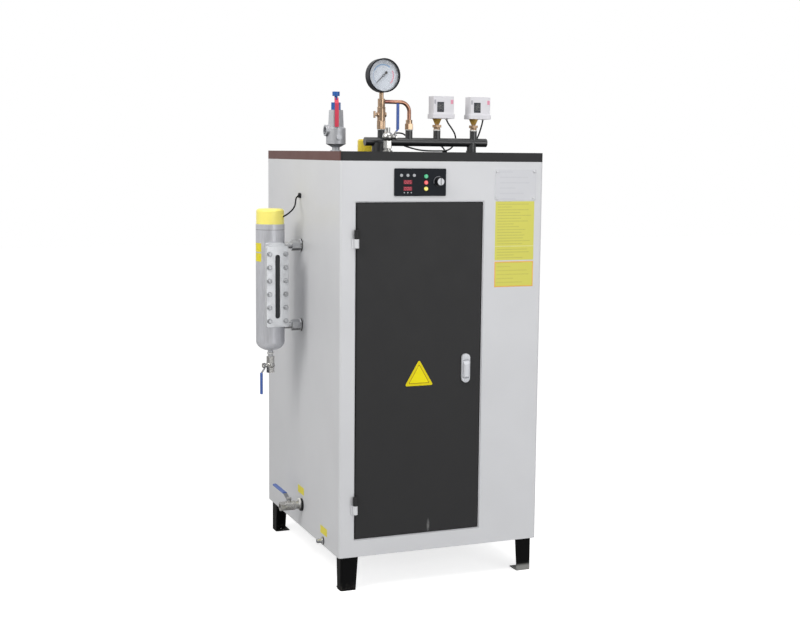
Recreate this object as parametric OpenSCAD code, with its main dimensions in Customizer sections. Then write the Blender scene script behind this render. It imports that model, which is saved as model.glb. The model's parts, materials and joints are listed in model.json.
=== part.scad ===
// Electric steam boiler in a free-standing sheet-metal cabinet, in millimetres.
// X runs left to right, Y front to back and Z up. The origin is on the floor below the cabinet's middle.
// Places count from the left wall, the front face and the walls' bottom edge, unless a comment says otherwise.

/* [Cabinet] */
// Width over the side walls
body_w = 650; // [620:1:700]
// Depth from the front face to the rear face
body_d = 740; // [700:1:800]
// Height from the walls' bottom edge to the top of the lid
body_h = 1195; // [1170:1:1260]
// Thickness of the cabinet's sheet
sheet = 2; // [1:0.5:3]
// Outer radius of the folded corners
corner_r = 8; // [5:1:12]
// Depth of the sides that are folded back from the front and rear walls
wall_return = 40; // [30:1:60]
// Height of the lid's turned-down edge
lid_skirt = 27; // [20:1:35]
// Height of the lid's lip inside the walls
lid_lip = 12; // [8:1:20]
// Gap between the lid's lip and the walls
lid_fit = 0.5; // [0.3:0.1:1]
// Height of the base tray's turned-up edge
tray_lip = 20; // [10:1:30]

/* [Legs] */
// Height of the legs
leg_h = 104; // [80:1:140]
// Distance of a leg's corner from the cabinet's corner
leg_inset = 10; // [5:1:15]
// Width of a leg's flanges at the top
leg_top_w = 54; // [50:1:70]
// Width of a leg's flanges at the foot
leg_foot_w = 47; // [40:1:60]
// Width by which a front leg's side flange is narrower
leg_side_cut = 14; // [0:1:20]
// Thickness of the legs' sheet
leg_t = 3; // [2:0.5:5]
// Outer bend radius of a leg's corner
leg_bend_r = 7; // [5:1:10]
// Side of the square foot plates
foot_plate_w = 48; // [44:1:70]
// Diameter of the floor anchor's hole in a foot plate
anchor_d = 12; // [8:1:14]

/* [Door] */
// Width of the door
door_w = 400; // [360:1:420]
// Distance of the door's left edge from the left wall
door_left = 50; // [40:1:60]
// Height of the door's lower edge above the walls' bottom edge
door_bottom = 55; // [45:1:70]
// Distance of the door's top edge below the lid's top
door_drop = 148; // [145:1:180]
// Gap round the door
door_gap = 5; // [5:0.5:6]
// Depth of the door's turned-in edges
door_depth = 18; // [14:1:22]
// Outer bend radius of the door's upright edges
door_bend_r = 4; // [3:0.5:6]
// Depth of the folded jamb round the door opening
jamb_depth = 24; // [20:1:30]

/* [Hinges] */
// Distance of a hinge's middle from the door's end
hinge_inset = 103; // [80:1:130]
// Height of one hinge knuckle
knuckle_h = 26; // [20:1:32]
// Diameter of a hinge knuckle
knuckle_d = 14; // [12:0.5:16]
// Distance of the hinge axis in front of the door's face
hinge_out = 9; // [8.5:0.5:12]
// Diameter of a hinge pin
hinge_pin_d = 8; // [6:0.5:9]
// Depth of a hinge pin in the door's knuckle
hinge_pin_in = 20; // [14:1:22]
// Width of a hinge leaf beside the door's gap
leaf_w = 9; // [7:0.5:14]
// Thickness of a hinge leaf
leaf_t = 5; // [4:0.5:6]

/* [Latch] */
// Width of the latch housing
latch_w = 26; // [24:1:32]
// Height of the latch housing
latch_h = 87; // [84:1:100]
// Distance of the latch from the door's right edge
latch_inset = 50; // [40:1:60]
// Depth of the latch housing in front of the door
latch_depth = 8; // [7.5:0.5:10]
// Width of the lift handle
handle_w = 19; // [17:0.5:20]
// Length of the lift handle below its pivot
handle_l = 49; // [46:1:50]
// Height of the handle's pivot above the latch's middle
handle_pivot_up = 20; // [18:0.5:20.5]
// Distance of the handle's pivot in front of the door
handle_pivot_out = 5; // [5:0.25:5.5]
// Distance of the handle's face in front of the door
handle_out = 16; // [14:0.5:18]
// Radius of the handle round its pivot
handle_eye_r = 4; // [3.5:0.25:4.25]
// Radius of the handle's front edges
handle_edge_r = 6; // [4:0.5:8]
// Diameter of the handle's pivot pin
handle_pin_d = 4; // [3:0.5:5]
// Gap round the handle in the housing's slot
handle_gap = 1.25; // [1:0.25:1.5]
// Diameter of the lock in the housing's upper end
lock_d = 11; // [10:0.5:12]
// Height of the lock over the latch's housing
lock_out = 1; // [0.5:0.5:2]
// Diameter of the push button in the housing's lower end
button_d = 10; // [8:0.5:11]
// Height of the button over the latch's housing
button_out = 2; // [1:0.5:3]

/* [Control panel] */
// Width of the control panel's plate
panel_w = 163; // [155:1:180]
// Height of the control panel's plate
panel_h = 80; // [76:1:84]
// Thickness of the control panel's plate
panel_t = 3; // [3:0.5:5]
// Corner radius of the control panel's plate
panel_r = 3; // [2:0.5:5]
// Distance of the plate's left edge from the left wall
panel_left = 165; // [150:1:180]
// Distance of the plate's top edge below the lid's top
panel_drop = 48; // [44:1:52]
// Diameter of a pilot lamp
lamp_d = 12; // [10:0.5:14]
// Height of a pilot lamp
lamp_h = 4; // [3:0.5:6]
// Radius of a pilot lamp's edge
lamp_edge_r = 2; // [1:0.5:2.5]
// Distance of the lamps from the plate's left edge
lamp_x = 99; // [92:1:104]
// Height of the middle lamp above the plate's lower edge
lamp_z = 39; // [36:1:44]
// Spacing of the lamps
lamp_pitch = 18; // [15:0.5:20]
// Width of a number display
display_w = 27; // [24:1:30]
// Height of a number display
display_h = 12; // [10:0.5:14]
// Thickness of a number display
display_t = 1; // [0.5:0.5:2]
// Distance of the displays' middle from the plate's left edge
display_x = 41.5; // [38:0.5:44]
// Height of the lower display's middle above the plate's lower edge
display_z = 21.5; // [20:0.5:24]
// Spacing of the displays
display_pitch = 19; // [17:0.5:21]
// Diameter of a white signal light
led_d = 9; // [6:0.5:10]
// Height of the white signal lights and of the keys
led_t = 1.5; // [1:0.5:3]
// Spacing of the white signal lights
led_pitch = 20; // [17:0.5:22]
// Height of the white signal lights above the plate's lower edge
led_z = 60; // [57:1:66]
// Diameter of a key below the displays
key_d = 4; // [3:0.5:5]
// Spacing of the keys
key_pitch = 11; // [9:0.5:13]
// Height of the keys above the plate's lower edge
key_z = 10; // [8:0.5:12]
// Diameter of the selector knob's skirt
knob_d = 28; // [24:1:32]
// Height of the selector knob's skirt
knob_skirt_h = 4; // [3:0.5:6]
// Diameter of the selector knob's barrel
knob_barrel_d = 21; // [18:0.5:23]
// Height of the selector knob
knob_h = 18; // [14:0.5:22]
// Width of the slot across the knob's face
knob_slot_w = 3; // [2:0.5:4]
// Depth of the slot across the knob's face
knob_slot_in = 2; // [1:0.5:3]
// Distance of the selector knob from the plate's left edge
knob_x = 139; // [132:1:144]
// Height of the selector knob above the plate's lower edge
knob_z = 42; // [36:1:48]
// Diameter of the selector knob's spindle
knob_spindle_d = 8; // [6:0.5:10]

/* [Vessel] */
// Diameter of the insulated vessel
vessel_d = 460; // [420:1:500]
// Distance of the vessel's axis behind the front face
vessel_y = 370; // [360:1:390]
// Distance of the vessel's top below the lid's top
vessel_drop = 195; // [160:1:235]
// Radius of the vessel's top edge
vessel_edge_r = 40; // [20:1:50]
// Diameter of the heater's flange
heater_d = 200; // [160:1:220]
// Height of the heater's flange
heater_z = 300; // [250:1:400]
// Thickness of the heater's flange
heater_t = 14; // [10:1:18]
// Width of the heater's flange outside its neck
heater_step = 15; // [10:1:25]
// Length of the heater's neck in front of the vessel
heater_neck = 35; // [25:1:40]
// Diameter of the heater's terminal cover
heater_cover_d = 130; // [100:1:150]
// Depth of the heater's terminal cover
heater_cover_h = 30; // [20:1:35]
// Diameter of the pipe stubs from the vessel
stub_d = 20; // [16:1:22]
// Gap round a pipe stub where it passes through the sheet
stub_gap = 1.5; // [1:0.5:3]

/* [Level column] */
// Distance of the column's axis outside the left wall
col_out = 100; // [95:1:120]
// Distance of the column's axis behind the front face
col_y = 370; // [360:1:390]
// Diameter of the column
col_d = 89; // [80:1:95]
// Length of the column's tube below the lower level pipe
col_under = 47; // [35:1:60]
// Length of the column's tube above the upper level pipe
col_over = 67; // [50:1:85]
// Depth of the dished lower end
col_dish = 30; // [20:1:36]
// Diameter of the neck below the dished end
col_neck_d = 16; // [14:0.5:18]
// Length of that neck
col_neck_h = 18; // [12:1:24]
// Diameter of the cap
cap_d = 86; // [78:1:92]
// Height of the cap
cap_h = 47; // [40:1:55]
// Radius of the cap's top edge
cap_r = 9; // [5:1:14]
// Distance of the upper level pipe below the lid's top
pipe_drop = 292; // [270:1:310]
// Spacing of the level pipes
pipe_pitch = 251; // [240:1:270]
// Diameter of the level pipes
level_pipe_d = 21; // [18:0.5:24]
// Size of the union nuts across their flats
union_af = 30; // [27:1:34]
// Length of a union nut
union_l = 28; // [22:1:32]
// Diameter of the washer behind a union nut
washer_d = 40; // [36:1:44]
// Thickness of that washer
washer_t = 4; // [3:0.5:6]

/* [Sight glass] */
// Width of the sight glass frame
sight_w = 69; // [64:1:82]
// Height of the sight glass frame
sight_h = 247; // [230:1:260]
// Height of the frame's middle above the middle of the level pipes
sight_up = 4.5; // [0:0.5:10]
// Corner radius of the frame
sight_r = 4; // [3:0.5:8]
// Depth of the frame in front of the column
sight_out = 37; // [32:1:40]
// Thickness of the sight frame's front plate
sight_plate_t = 20; // [16:1:24]
// Width of the neck between that plate and the column
sight_neck_w = 54; // [48:1:60]
// Height of that neck above the plate
sight_neck_up = 9; // [4:1:12]
// Radius of that neck's corners, which is also its distance above the plate's lower edge
sight_neck_r = 6; // [4:1:8]
// Width of the sight slot
slot_w = 15; // [12:0.5:20]
// Length of the sight slot
slot_h = 196; // [180:1:210]
// Depth of the glass behind the frame's face
glass_in = 4; // [3:0.5:6]
// Thickness of the glass
glass_t = 8; // [6:0.5:10]

/* [Valves] */
// Diameter of a valve stem under its lever
stem_d = 8; // [6:0.5:9]
// Thickness of a valve lever's blade
blade_t = 3; // [2.5:0.5:4]
// Width of a valve lever's blade
blade_w = 12; // [10:0.5:14]
// Width of a lever's sleeve
sleeve_w = 13; // [12.5:0.5:16]
// Thickness of a lever's sleeve
sleeve_t = 7; // [6:0.5:9]
// Width of the collar round a valve stem
stem_collar = 3; // [2:0.5:4]
// Distance between a valve's ball housing and its lever's blade
stem_reach = 4; // [3.5:0.5:6]
// Size of a valve stem's nut across its flats
stem_nut_af = 13; // [12:0.5:15]
// Length of a valve stem's nut
stem_nut_l = 5; // [4:0.5:7]
// Diameter of the lever's eye round the stem
lever_eye_d = 16; // [14:0.5:18]
// Length of a lever's flat part beside its stem
crank_from = 10; // [9:0.5:12]
// Distance of a lever's sleeve from its stem
sleeve_from = 24; // [20:1:30]
// Offset between a lever's blade and its sleeve
sleeve_rise = 10; // [8:0.5:14]
// Radius of a sleeve's edges
sleeve_r = 3; // [2:0.5:3]
// Length of a lever's sleeve past its blade
sleeve_end = 4; // [3:0.5:6]
// Depth of a valve's outlet bore
outlet_depth = 15; // [10:1:18]

/* [Steam valve] */
// Distance of the steam valve to the left of the cabinet's middle
steam_left = 76; // [66:1:86]
// Distance of the steam valve behind the front face
steam_y = 270; // [255:1:280]
// Height of the steam valve's ball above the lid
steam_ball_z = 45; // [42:1:50]
// Diameter of the steam valve's ball housing
steam_ball_d = 34; // [30:1:36]
// Size of the steam valve's hexagon across its flats
steam_hex = 24; // [22:1:26]
// Height of the steam valve's hexagon above the lid
steam_hex_z = 10; // [8:1:14]
// Length of the steam valve's hexagon
steam_hex_h = 33; // [30:1:36]
// Diameter of the steam valve's collar on the lid
steam_collar_d = 30; // [26:1:34]
// Thickness of the steam valve's collar
steam_collar_t = 4; // [3:0.5:6]
// Diameter of the steam valve's outlet neck
steam_neck_d = 15; // [14:0.5:17]
// Height of the steam valve's outlet above the lid
steam_top = 74; // [70:1:80]
// Diameter of the steam outlet's bore
steam_bore = 8; // [6:0.5:10]
// Length of the steam lever above its stem
steam_lever_l = 103; // [90:1:115]

/* [Blowdown valve] */
// Distance of the blowdown pipe behind the front face
blow_y = 360; // [350:1:370]
// Height of the blowdown pipe
blow_z = 74; // [70:1:85]
// Diameter of the blowdown pipe's grommet
blow_grommet_d = 40; // [36:1:46]
// Thickness of the blowdown pipe's grommet
blow_grommet_t = 6; // [4:0.5:8]
// Distance of the blowdown valve's stem outside the left wall
blow_stem_out = 43; // [40:1:48]
// Distance of the blowdown valve's mouth outside the left wall
blow_end_out = 73; // [70:1:80]
// Diameter of the blowdown valve's collar
blow_collar_d = 31; // [28:1:34]
// Thickness of the blowdown valve's collar
blow_collar_t = 6; // [4:0.5:8]
// Diameter of the blowdown pipe outside the wall
blow_pipe_d = 24; // [22:0.5:26]
// Length of the blowdown pipe between the collar and the hexagon
blow_pipe_l = 10; // [6:1:12]
// Diameter of the blowdown valve's barrel
blow_ball_d = 29; // [26:1:32]
// Length of the blowdown valve's barrel
blow_barrel_l = 30; // [24:1:34]
// Size of the blowdown valve's hexagons across their flats
blow_hex = 26; // [24:1:28]
// Diameter of the blowdown outlet's bore
blow_bore = 15; // [12:0.5:16]
// Length of the blowdown lever behind its stem
blow_lever_l = 160; // [140:1:170]
// Distance of the blowdown lever's sleeve from its stem
blow_sleeve_from = 42; // [30:1:50]

/* [Column drain valve] */
// Distance of the drain valve's stem below the valve's top
drain_stem_drop = 29; // [26:1:32]
// Length of the drain valve
drain_l = 52; // [48:1:56]
// Diameter of the drain valve's ball housing
drain_ball_d = 27; // [24:1:30]
// Size of the drain valve's hexagons across their flats
drain_hex = 22; // [20:1:24]
// Diameter of the drain outlet's bore
drain_bore = 10; // [8:0.5:12]
// Length of the drain lever below its stem
drain_lever_l = 90; // [80:1:100]

/* [Inlet] */
// Distance of the water inlet behind the front face
inlet_y = 147; // [140:1:155]
// Height of the water inlet
inlet_z = 15; // [13:1:40]
// Diameter of the inlet pipe
inlet_d = 13; // [12:0.5:16]
// Diameter of the inlet's bore
inlet_bore = 9; // [8:0.5:10]
// Length of the inlet pipe outside the wall
inlet_l = 20; // [16:1:30]
// Diameter of the inlet's collar
inlet_collar_d = 24; // [20:1:28]
// Thickness of the inlet's collar
inlet_collar_t = 4; // [3:0.5:6]

/* [Safety valve] */
// Distance of the safety valve to the left of the cabinet's middle
safety_left = 225; // [215:1:228]
// Distance of the top fittings' row behind the front face
row_y = 330; // [320:1:340]
// Diameter of the safety valve's body
safety_d = 61; // [56:1:66]
// Diameter of the safety valve's neck
safety_neck_d = 24; // [22:1:28]
// Height of the neck below the body's cone
safety_neck_h = 12; // [8:1:14]
// Diameter of the collar on the lid
safety_collar_d = 34; // [30:1:38]
// Thickness of the collar on the lid
safety_collar_t = 3; // [2:0.5:5]
// Height of the body's lower edge above the lid
safety_body_z = 22; // [18:1:26]
// Height of the body's shoulder above the lid
safety_shoulder_z = 73; // [68:1:78]
// Bevel of the body's shoulder
safety_bevel = 3; // [2:0.5:5]
// Diameter of the plug in the body's front
safety_plug_d = 17; // [14:1:20]
// Height of that plug above the lid
safety_plug_z = 43; // [38:1:48]
// Distance of that plug's face in front of the body
safety_plug_out = 3; // [2:0.5:5]
// Size of the bonnet's foot across its flats
bonnet_af = 47; // [44:1:50]
// Size of the bonnet's top across its flats
bonnet_top_af = 42; // [38:1:44]
// Height of the bonnet's top above the lid
bonnet_top = 126; // [120:1:132]
// Size of the cap's hexagon across its flats
safety_cap_af = 27; // [24:1:30]
// Height of the cap's top above the lid
safety_cap_top = 149; // [144:1:152]
// Diameter of the lift knob
lift_knob_d = 23; // [20:1:26]
// Height of the lift knob's lower face above the lid
lift_knob_z = 169; // [167:1:174]
// Thickness of the lift knob
lift_knob_h = 13; // [10:1:16]
// Diameter of the lift spindle
lift_spindle_d = 10; // [8:0.5:12]
// Width of the lift lever
lift_w = 12; // [11:0.5:14]
// Thickness of the lift lever
lift_t = 4; // [3:0.5:5]
// Length of the lift lever below its pin
lift_l = 84; // [76:1:88]
// Diameter of the lift lever's pin
lift_pin_d = 5; // [4:0.5:6]
// Radius of the lift lever's eye
lift_eye_r = 5.5; // [5:0.25:6]
// Distance of the lift lever's pin in front of the valve's axis
lift_pin_out = 15; // [14:0.5:18]
// Width of the lug that carries the pin
lug_w = 4; // [3:0.5:5]
// Height of that lug
lug_h = 8; // [7:0.5:9]
// Radius of the gap in the lever's fork
fork_r = 8; // [7:0.5:9]
// Gap between the bonnet and the lift lever
lift_gap = 6; // [5.5:0.5:8]
// Height of the lift lever's pin above the lid
lift_pin_z = 158; // [157:0.5:160]
// Diameter of the discharge boss
discharge_d = 35; // [32:1:40]
// Height of the discharge boss above the lid
discharge_z = 63; // [54:1:66]
// Distance of the discharge boss's face from the valve's axis
discharge_out = 36; // [34:1:50]
// Diameter of the discharge bore
discharge_bore = 24; // [20:1:26]

/* [Manifold] */
// Distance of the manifold's left end to the left of the cabinet's middle
manifold_left = 130; // [115:1:135]
// Length of the manifold
manifold_l = 418; // [405:1:430]
// Diameter of the manifold pipe
manifold_d = 27; // [25:0.5:30]
// Height of the manifold's axis above the lid
manifold_z = 31; // [28:1:36]
// Diameter of the riser under the manifold's left end
riser_d = 40; // [36:1:44]
// Distance of the riser to the left of the cabinet's middle
riser_left = 85; // [77:1:93]
// Height of the riser
riser_h = 27; // [22:1:30]
// Diameter of the post under the manifold's right end
post_d = 30; // [26:1:34]
// Distance of that post to the right of the cabinet's middle
post_right = 237; // [225:1:245]
// Diameter of the sockets on the manifold
socket_d = 23; // [21:1:25]
// Height of the sockets' tops above the lid
socket_top = 70; // [64:1:74]
// Distance of the gauge's socket to the left of the cabinet's middle
gauge_left = 75; // [69:1:85]
// Distance of the copper tube's socket to the right of the cabinet's middle
tube_right = 19; // [10:1:25]
// Distance of the first switch's socket to the right of the cabinet's middle
switch_a_right = 115; // [105:1:125]
// Distance of the second switch's socket to the right of the cabinet's middle
switch_b_right = 243; // [235:1:251]

/* [Pressure gauge] */
// Diameter of the gauge's case
gauge_d = 105; // [96:1:108]
// Depth of the gauge's case
gauge_depth = 32; // [28:1:40]
// Distance of the case's back behind the gauge's stem
gauge_back = 5; // [4:1:12]
// Height of the gauge's middle above the lid
gauge_z = 235; // [232:1:245]
// Thickness of the case's rim
gauge_rim = 4; // [3:0.5:6]
// Depth of the dial behind the rim's front
dial_in = 12; // [12:1:18]
// Thickness of the dial
dial_t = 1.5; // [1:0.5:2]
// Depth of the window behind the rim's front
window_in = 1; // [0.5:0.5:3]
// Thickness of the window
window_t = 1.5; // [1:0.5:3]
// Length of the needle from its axis to its tip
needle_l = 36; // [30:1:40]
// Diameter of the needle's hub
needle_hub_d = 7; // [6:0.5:9]
// Length of the needle's tail
needle_tail = 12; // [8:1:16]
// Diameter of the round end of the needle's tail
needle_blob_d = 9; // [7:0.5:11]
// Length of the needle's point
needle_point = 4; // [3:0.5:6]
// Width of the needle at its tail
needle_w = 3; // [2:0.5:5]
// Thickness of the needle
needle_t = 1.5; // [1:0.5:2]
// Gap between the needle and the dial
needle_gap = 3; // [2:0.5:4]
// Length of the needle's spindle past the needle
needle_pin_end = 1; // [0.5:0.5:2]
// Diameter of the needle's spindle
needle_pin_d = 3; // [2:0.5:4]
// Size of the cock's lower hexagon across its flats
cock_hex = 25; // [23:1:27]
// Height of that hexagon
cock_hex_h = 25; // [20:1:28]
// Diameter of the cock's body
cock_d = 26; // [24:1:28]
// Diameter of the boss round the cock's spindle
cock_boss_d = 16; // [14:0.5:18]
// Length of that boss past the cock's body
cock_boss_out = 2; // [1:0.5:3]
// Height of the cock's handle above the lid
cock_z = 115; // [112:1:118]
// Height of the cock body's top above the lid
cock_top = 136; // [132:1:138]
// Diameter of the tee over the cock
tee_d = 23; // [20:1:26]
// Height of the tee's top above the lid
tee_top = 164; // [160:1:168]
// Diameter of the gauge's stem
gauge_stem_d = 14; // [12:0.5:16]
// Length of the cock's handle bar
cock_bar_l = 21; // [18:1:26]
// Distance of the cock's handle bar from the cock's axis
cock_bar_out = 23; // [21:1:26]
// Diameter of the cock's spindle
cock_spindle_d = 7; // [6:0.5:9]
// Distance of the cock's spindle end from the cock's axis
cock_spindle_in = 6; // [2:0.5:8]

/* [Copper tube] */
// Diameter of the copper tube
copper_d = 12.5; // [10:0.5:14]
// Bend radius of the copper tube
copper_bend = 30; // [24:1:34]
// Height of the tube's level run above the lid
copper_z = 155; // [152:1:158]
// Size of the tube's nut across its flats
copper_nut_af = 24; // [22:1:26]
// Height of the tube's nut
copper_nut_h = 30; // [24:1:34]
// Height of that nut's hexagon
copper_hex_h = 18; // [14:1:22]
// Diameter of that nut's upper end
copper_nut_d = 21; // [18:0.5:21.5]

/* [Pressure switches] */
// Width of a switch housing
switch_w = 70; // [64:1:78]
// Depth of a switch housing
switch_d = 43; // [40:1:52]
// Height of a switch housing
switch_h = 70; // [64:1:76]
// Height of a housing's lower face above the lid
switch_z = 106; // [102:1:112]
// Distance of a housing's middle to the right of its socket
switch_shift = 14; // [8:1:16]
// Corner radius of a switch housing
switch_r = 2.5; // [2:0.5:8]
// Width of a switch window
window_w = 24; // [20:1:28]
// Height of a switch window
window_h = 32; // [28:1:36]
// Distance of a switch window from the housing's left edge
window_left = 12; // [8:1:16]
// Height of a switch window above the housing's lower face
window_up = 20; // [16:1:24]
// Depth of the hollow that a switch window lies in
window_hollow = 2; // [1.5:0.5:3]
// Height of a housing's wider foot
switch_foot_h = 14; // [10:1:18]
// Width of that foot outside the housing
switch_foot = 3; // [1.5:0.5:4]
// Diameter of a switch's bellows
bellows_d = 30; // [26:1:34]
// Diameter of a switch's bellows at its foot
bellows_foot_d = 12; // [10:1:16]
// Height of a switch's bellows
bellows_h = 20; // [16:1:22]
// Size of the nut under the bellows across its flats
bellows_nut_af = 27; // [24:1:29]
// Height of that nut
bellows_nut_h = 8; // [6:1:10]
// Diameter of the ring under that nut
bellows_ring_d = 21; // [18:0.5:23]
// Distance of a switch's cable to the right of its socket
switch_exit = 33; // [28:1:36]

/* [Probe] */
// Distance of the level probe to the left of the cabinet's middle
probe_left = 80; // [70:1:90]
// Distance of the level probe behind the front face
probe_y = 430; // [420:1:440]
// Diameter of the probe's cap
probe_d = 70; // [62:1:76]
// Height of the probe's cap above the lid
probe_h = 39; // [34:1:44]
// Radius of the probe cap's top edge
probe_r = 7; // [4:1:10]

/* [Cables] */
// Diameter of the cables
cable_d = 5; // [5:0.5:6]
// Diameter of a cable grommet
grommet_d = 16; // [14:1:20]
// Thickness of a cable grommet
grommet_t = 6; // [4:0.5:8]
// Distance of the level cable's grommet behind the front face
level_grommet_y = 376; // [372:1:380]
// Height of the level cable's grommet above the upper level pipe
level_grommet_up = 154; // [150:1:160]
// Diameter of the bush where a cable leaves a cap or a switch
bush_d = 9; // [7:0.5:12]
// Length of that bush
bush_l = 3; // [2:0.5:5]
// Diameter of the probe's cable gland
gland_d = 15; // [13:1:18]
// Length of the probe's cable gland
gland_l = 14; // [12:1:18]

/* [Hidden] */
$fn = 48;
// Cutting shapes reach this far past the faces that they cut
over = 1;
// Running gap round a pin, a spindle or a stem
pin_clear = 0.05;
// Gap between faces that slide on each other
play = 0.3;
// Gap between round faces that are seated on each other
seat = 0.1;
// The walls end where the lid's edge begins
wall_h = body_h - lid_skirt;
side_l = body_d - 2*wall_return;
// The door, its opening and its hinges
door_h = body_h - door_drop - door_bottom;
open_x = door_left - door_gap;
open_z = door_bottom - door_gap;
open_w = door_w + 2*door_gap;
open_h = door_h + 2*door_gap;
hinge_x = door_left - door_gap/2;
hinge_heights = [door_bottom + hinge_inset, door_bottom + door_h - hinge_inset];
latch_x = door_left + door_w - latch_inset;
latch_z = door_bottom + door_h/2;
handle_z = latch_z + handle_pivot_up;
handle_slot_w = handle_w + 2*handle_gap;
lock_z = (latch_h/2 + handle_pivot_up + handle_eye_r)/2;
button_z = (-latch_h/2 + handle_pivot_up - handle_l)/2;
// The control panel's lower left corner
panel_z = body_h - panel_drop - panel_h;
// The vessel and its axis
vessel_x = body_w/2;
vessel_h = body_h - vessel_drop;
heater_face_y = vessel_y - vessel_d/2 - heater_neck;
// Places of the fittings on the lid
safety_x = vessel_x - safety_left;
steam_x = vessel_x - steam_left;
probe_x = vessel_x - probe_left;
riser_x = vessel_x - riser_left;
post_x = vessel_x + post_right;
manifold_x = vessel_x - manifold_left;
gauge_x = vessel_x - gauge_left;
tube_x = vessel_x + tube_right;
switch_a_x = vessel_x + switch_a_right;
switch_b_x = vessel_x + switch_b_right;
switches = [switch_a_x, switch_b_x];
sockets = [gauge_x, tube_x, switch_a_x, switch_b_x];
lift_face_y = lift_pin_out - bonnet_af/2 - lift_gap;
// Turn of the lift lever about the valve's axis, and half a facet of the eight-sided bonnet, in degrees
lift_turn = -14;
half_facet = 22.5;
// The level column's axis, its pipes and its ends
col_x = -col_out;
pipe_upper = body_h - pipe_drop;
pipe_lower = pipe_upper - pipe_pitch;
col_top = pipe_upper + col_over;
col_bottom = pipe_lower - col_under;
sight_z = (pipe_upper + pipe_lower)/2 + sight_up;
sight_front = col_y - col_d/2 - sight_out;
drain_top = col_bottom - col_dish - col_neck_h;
drain_mid = drain_top - drain_stem_drop;
// Pipe stubs through the lid, and through the left wall as pairs of depth and height
lid_stubs = [[riser_x, row_y], [safety_x, row_y], [steam_x, steam_y], [probe_x, probe_y]];
wall_stubs = [[col_y, pipe_upper], [col_y, pipe_lower], [blow_y, blow_z]];
// Reach of a valve's stem from the middle of its ball to the lever's blade
function blade_at(ball_d) = ball_d/2 + stem_reach;
// The gauge's front, and the needle's place on the dial in degrees
gauge_front = row_y + gauge_back - gauge_depth;
dial_d = gauge_d - 2*gauge_rim;
needle_rest = 225;
// The level cable runs from a bush on the cap to a grommet in the left wall
cap_exit = -47;
cap_face = [cos(cap_exit), sin(cap_exit), 0];
level_start = [col_x, col_y, col_top + cap_h/2] + (cap_d/2 + bush_l)*cap_face;
level_end = [-grommet_t, level_grommet_y, pipe_upper + level_grommet_up];
level_steps = [[9, -7, 6], [19, -8, 13.5], [30, -3, 22], [40, 7, 33], [46, 19, 44.5], [52, 31, 55.5]];
level_route = [level_start, each [for (p = level_steps) level_start + p], level_end];
// The other cables end in grommets on the lid, and their steps count from their fitting's place on the lid
cable_a_end = [-139, 70, grommet_t];
cable_b_end = [16, 70, grommet_t];
probe_cable_end = [267, 0, grommet_t];
switch_start = [switch_exit, 0, switch_z - bush_l];
switch_steps_a = [switch_start, [40, 1, 91], [54, 6, 76], [68, 14, 60], [77, 25, 43], [77, 36, 27], [70, 45, 13],
    [56, 50, 5.5], [36, 50, 4], [-10, 50, 4], [-40, 50, 6.5], [-70, 50, 13], [-96, 50, 21], [-109, 54, 29],
    [-120.5, 60, 35.5], [-130, 65, 35.5], [-137, 69, 30], [-139.5, 70.5, 20], cable_a_end];
switch_steps_b = [switch_start, [31.5, 3, 90], [29, 11, 70], [26, 22, 50], [22, 39, 34], [18, 56, 24.5],
    [16, 65.5, 16.5], cable_b_end];
probe_start = [probe_d/2 + gland_l, 0, probe_h/2];
probe_steps = [probe_start, [60, 0, 21.5], [69, -2, 29], [75, -4, 40], [81, -6, 51], [90, -8, 58.5], [102, -10, 60],
    [116, -11, 57], [130, -11, 47], [145, -9, 38], [170, -5, 33], [205, 0, 33], [231, 0, 30.5], [248, 0, 23.5],
    [260, 0, 15], probe_cable_end];

// Moves to the cabinet's lower front left corner
module at_cabinet() translate([-body_w/2, -body_d/2, leg_h]) children();

// A cylinder that runs to the right
module along_x(d, l) rotate([0, 90, 0]) cylinder(d = d, h = l);

// A cylinder that runs to the back
module along_y(d, l) rotate([-90, 0, 0]) cylinder(d = d, h = l);

// An upright hexagon bar of a given size across its flats
module hex_bar(af, h) cylinder(d = af/cos(30), h = h, $fn = 6);

// A rectangle with round corners
module round_outline(w, d, r) {
    translate([r, 0]) square([w - 2*r, d]);
    translate([0, r]) square([w, d - 2*r]);
    for (x = [r, w - r], y = [r, d - r]) translate([x, y]) circle(r);
}

// An upright slot outline with round ends
module slot_outline(w, h) {
    translate([-w/2, -(h - w)/2]) square([w, h - w]);
    for (s = [-1, 1]) translate([0, s*(h - w)/2]) circle(d = w);
}

// Stands an outline up as a plate that faces the front, from y = 0 to the back
module upright(t) translate([0, t, 0]) rotate([90, 0, 0]) linear_extrude(t) children();

// A sheet folded to a channel: a front face with round corners and two sides of the given depth
module channel_outline(w, depth, r, t) {
    intersection() {
        difference() {
            round_outline(w, 2*depth + 2*r, r);
            translate([t, t]) round_outline(w - 2*t, 2*depth + 2*r - 2*t, r - t);
        }
        square([w, depth]);
    }
}

// The cabinet's inner outline, shrunk by an inset
module inner_outline(inset) {
    translate([inset, inset]) round_outline(body_w - 2*inset, body_d - 2*inset, corner_r - sheet);
}

// Where the pipe stubs pass through the lid
module lid_holes() {
    for (p = lid_stubs) translate([p[0], p[1], body_h - sheet - over]) {
        cylinder(d = stub_d + 2*stub_gap, h = sheet + 2*over);
    }
}

// The folded tray that closes the cabinet's underside
module base_tray() color("dimgray") at_cabinet() difference() {
    linear_extrude(tray_lip) inner_outline(sheet);
    translate([0, 0, sheet]) linear_extrude(tray_lip) inner_outline(2*sheet);
}

// The flat left wall with holes for the pipes
module left_panel() color("gainsboro") at_cabinet() difference() {
    translate([0, wall_return, 0]) cube([sheet, side_l, wall_h]);
    for (p = wall_stubs) translate([-over, p[0], p[1]]) along_x(stub_d + 2*stub_gap, sheet + 2*over);
}

// The flat right wall
module right_panel() color("gainsboro") at_cabinet() {
    translate([body_w - sheet, wall_return, 0]) cube([sheet, side_l, wall_h]);
}

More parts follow.
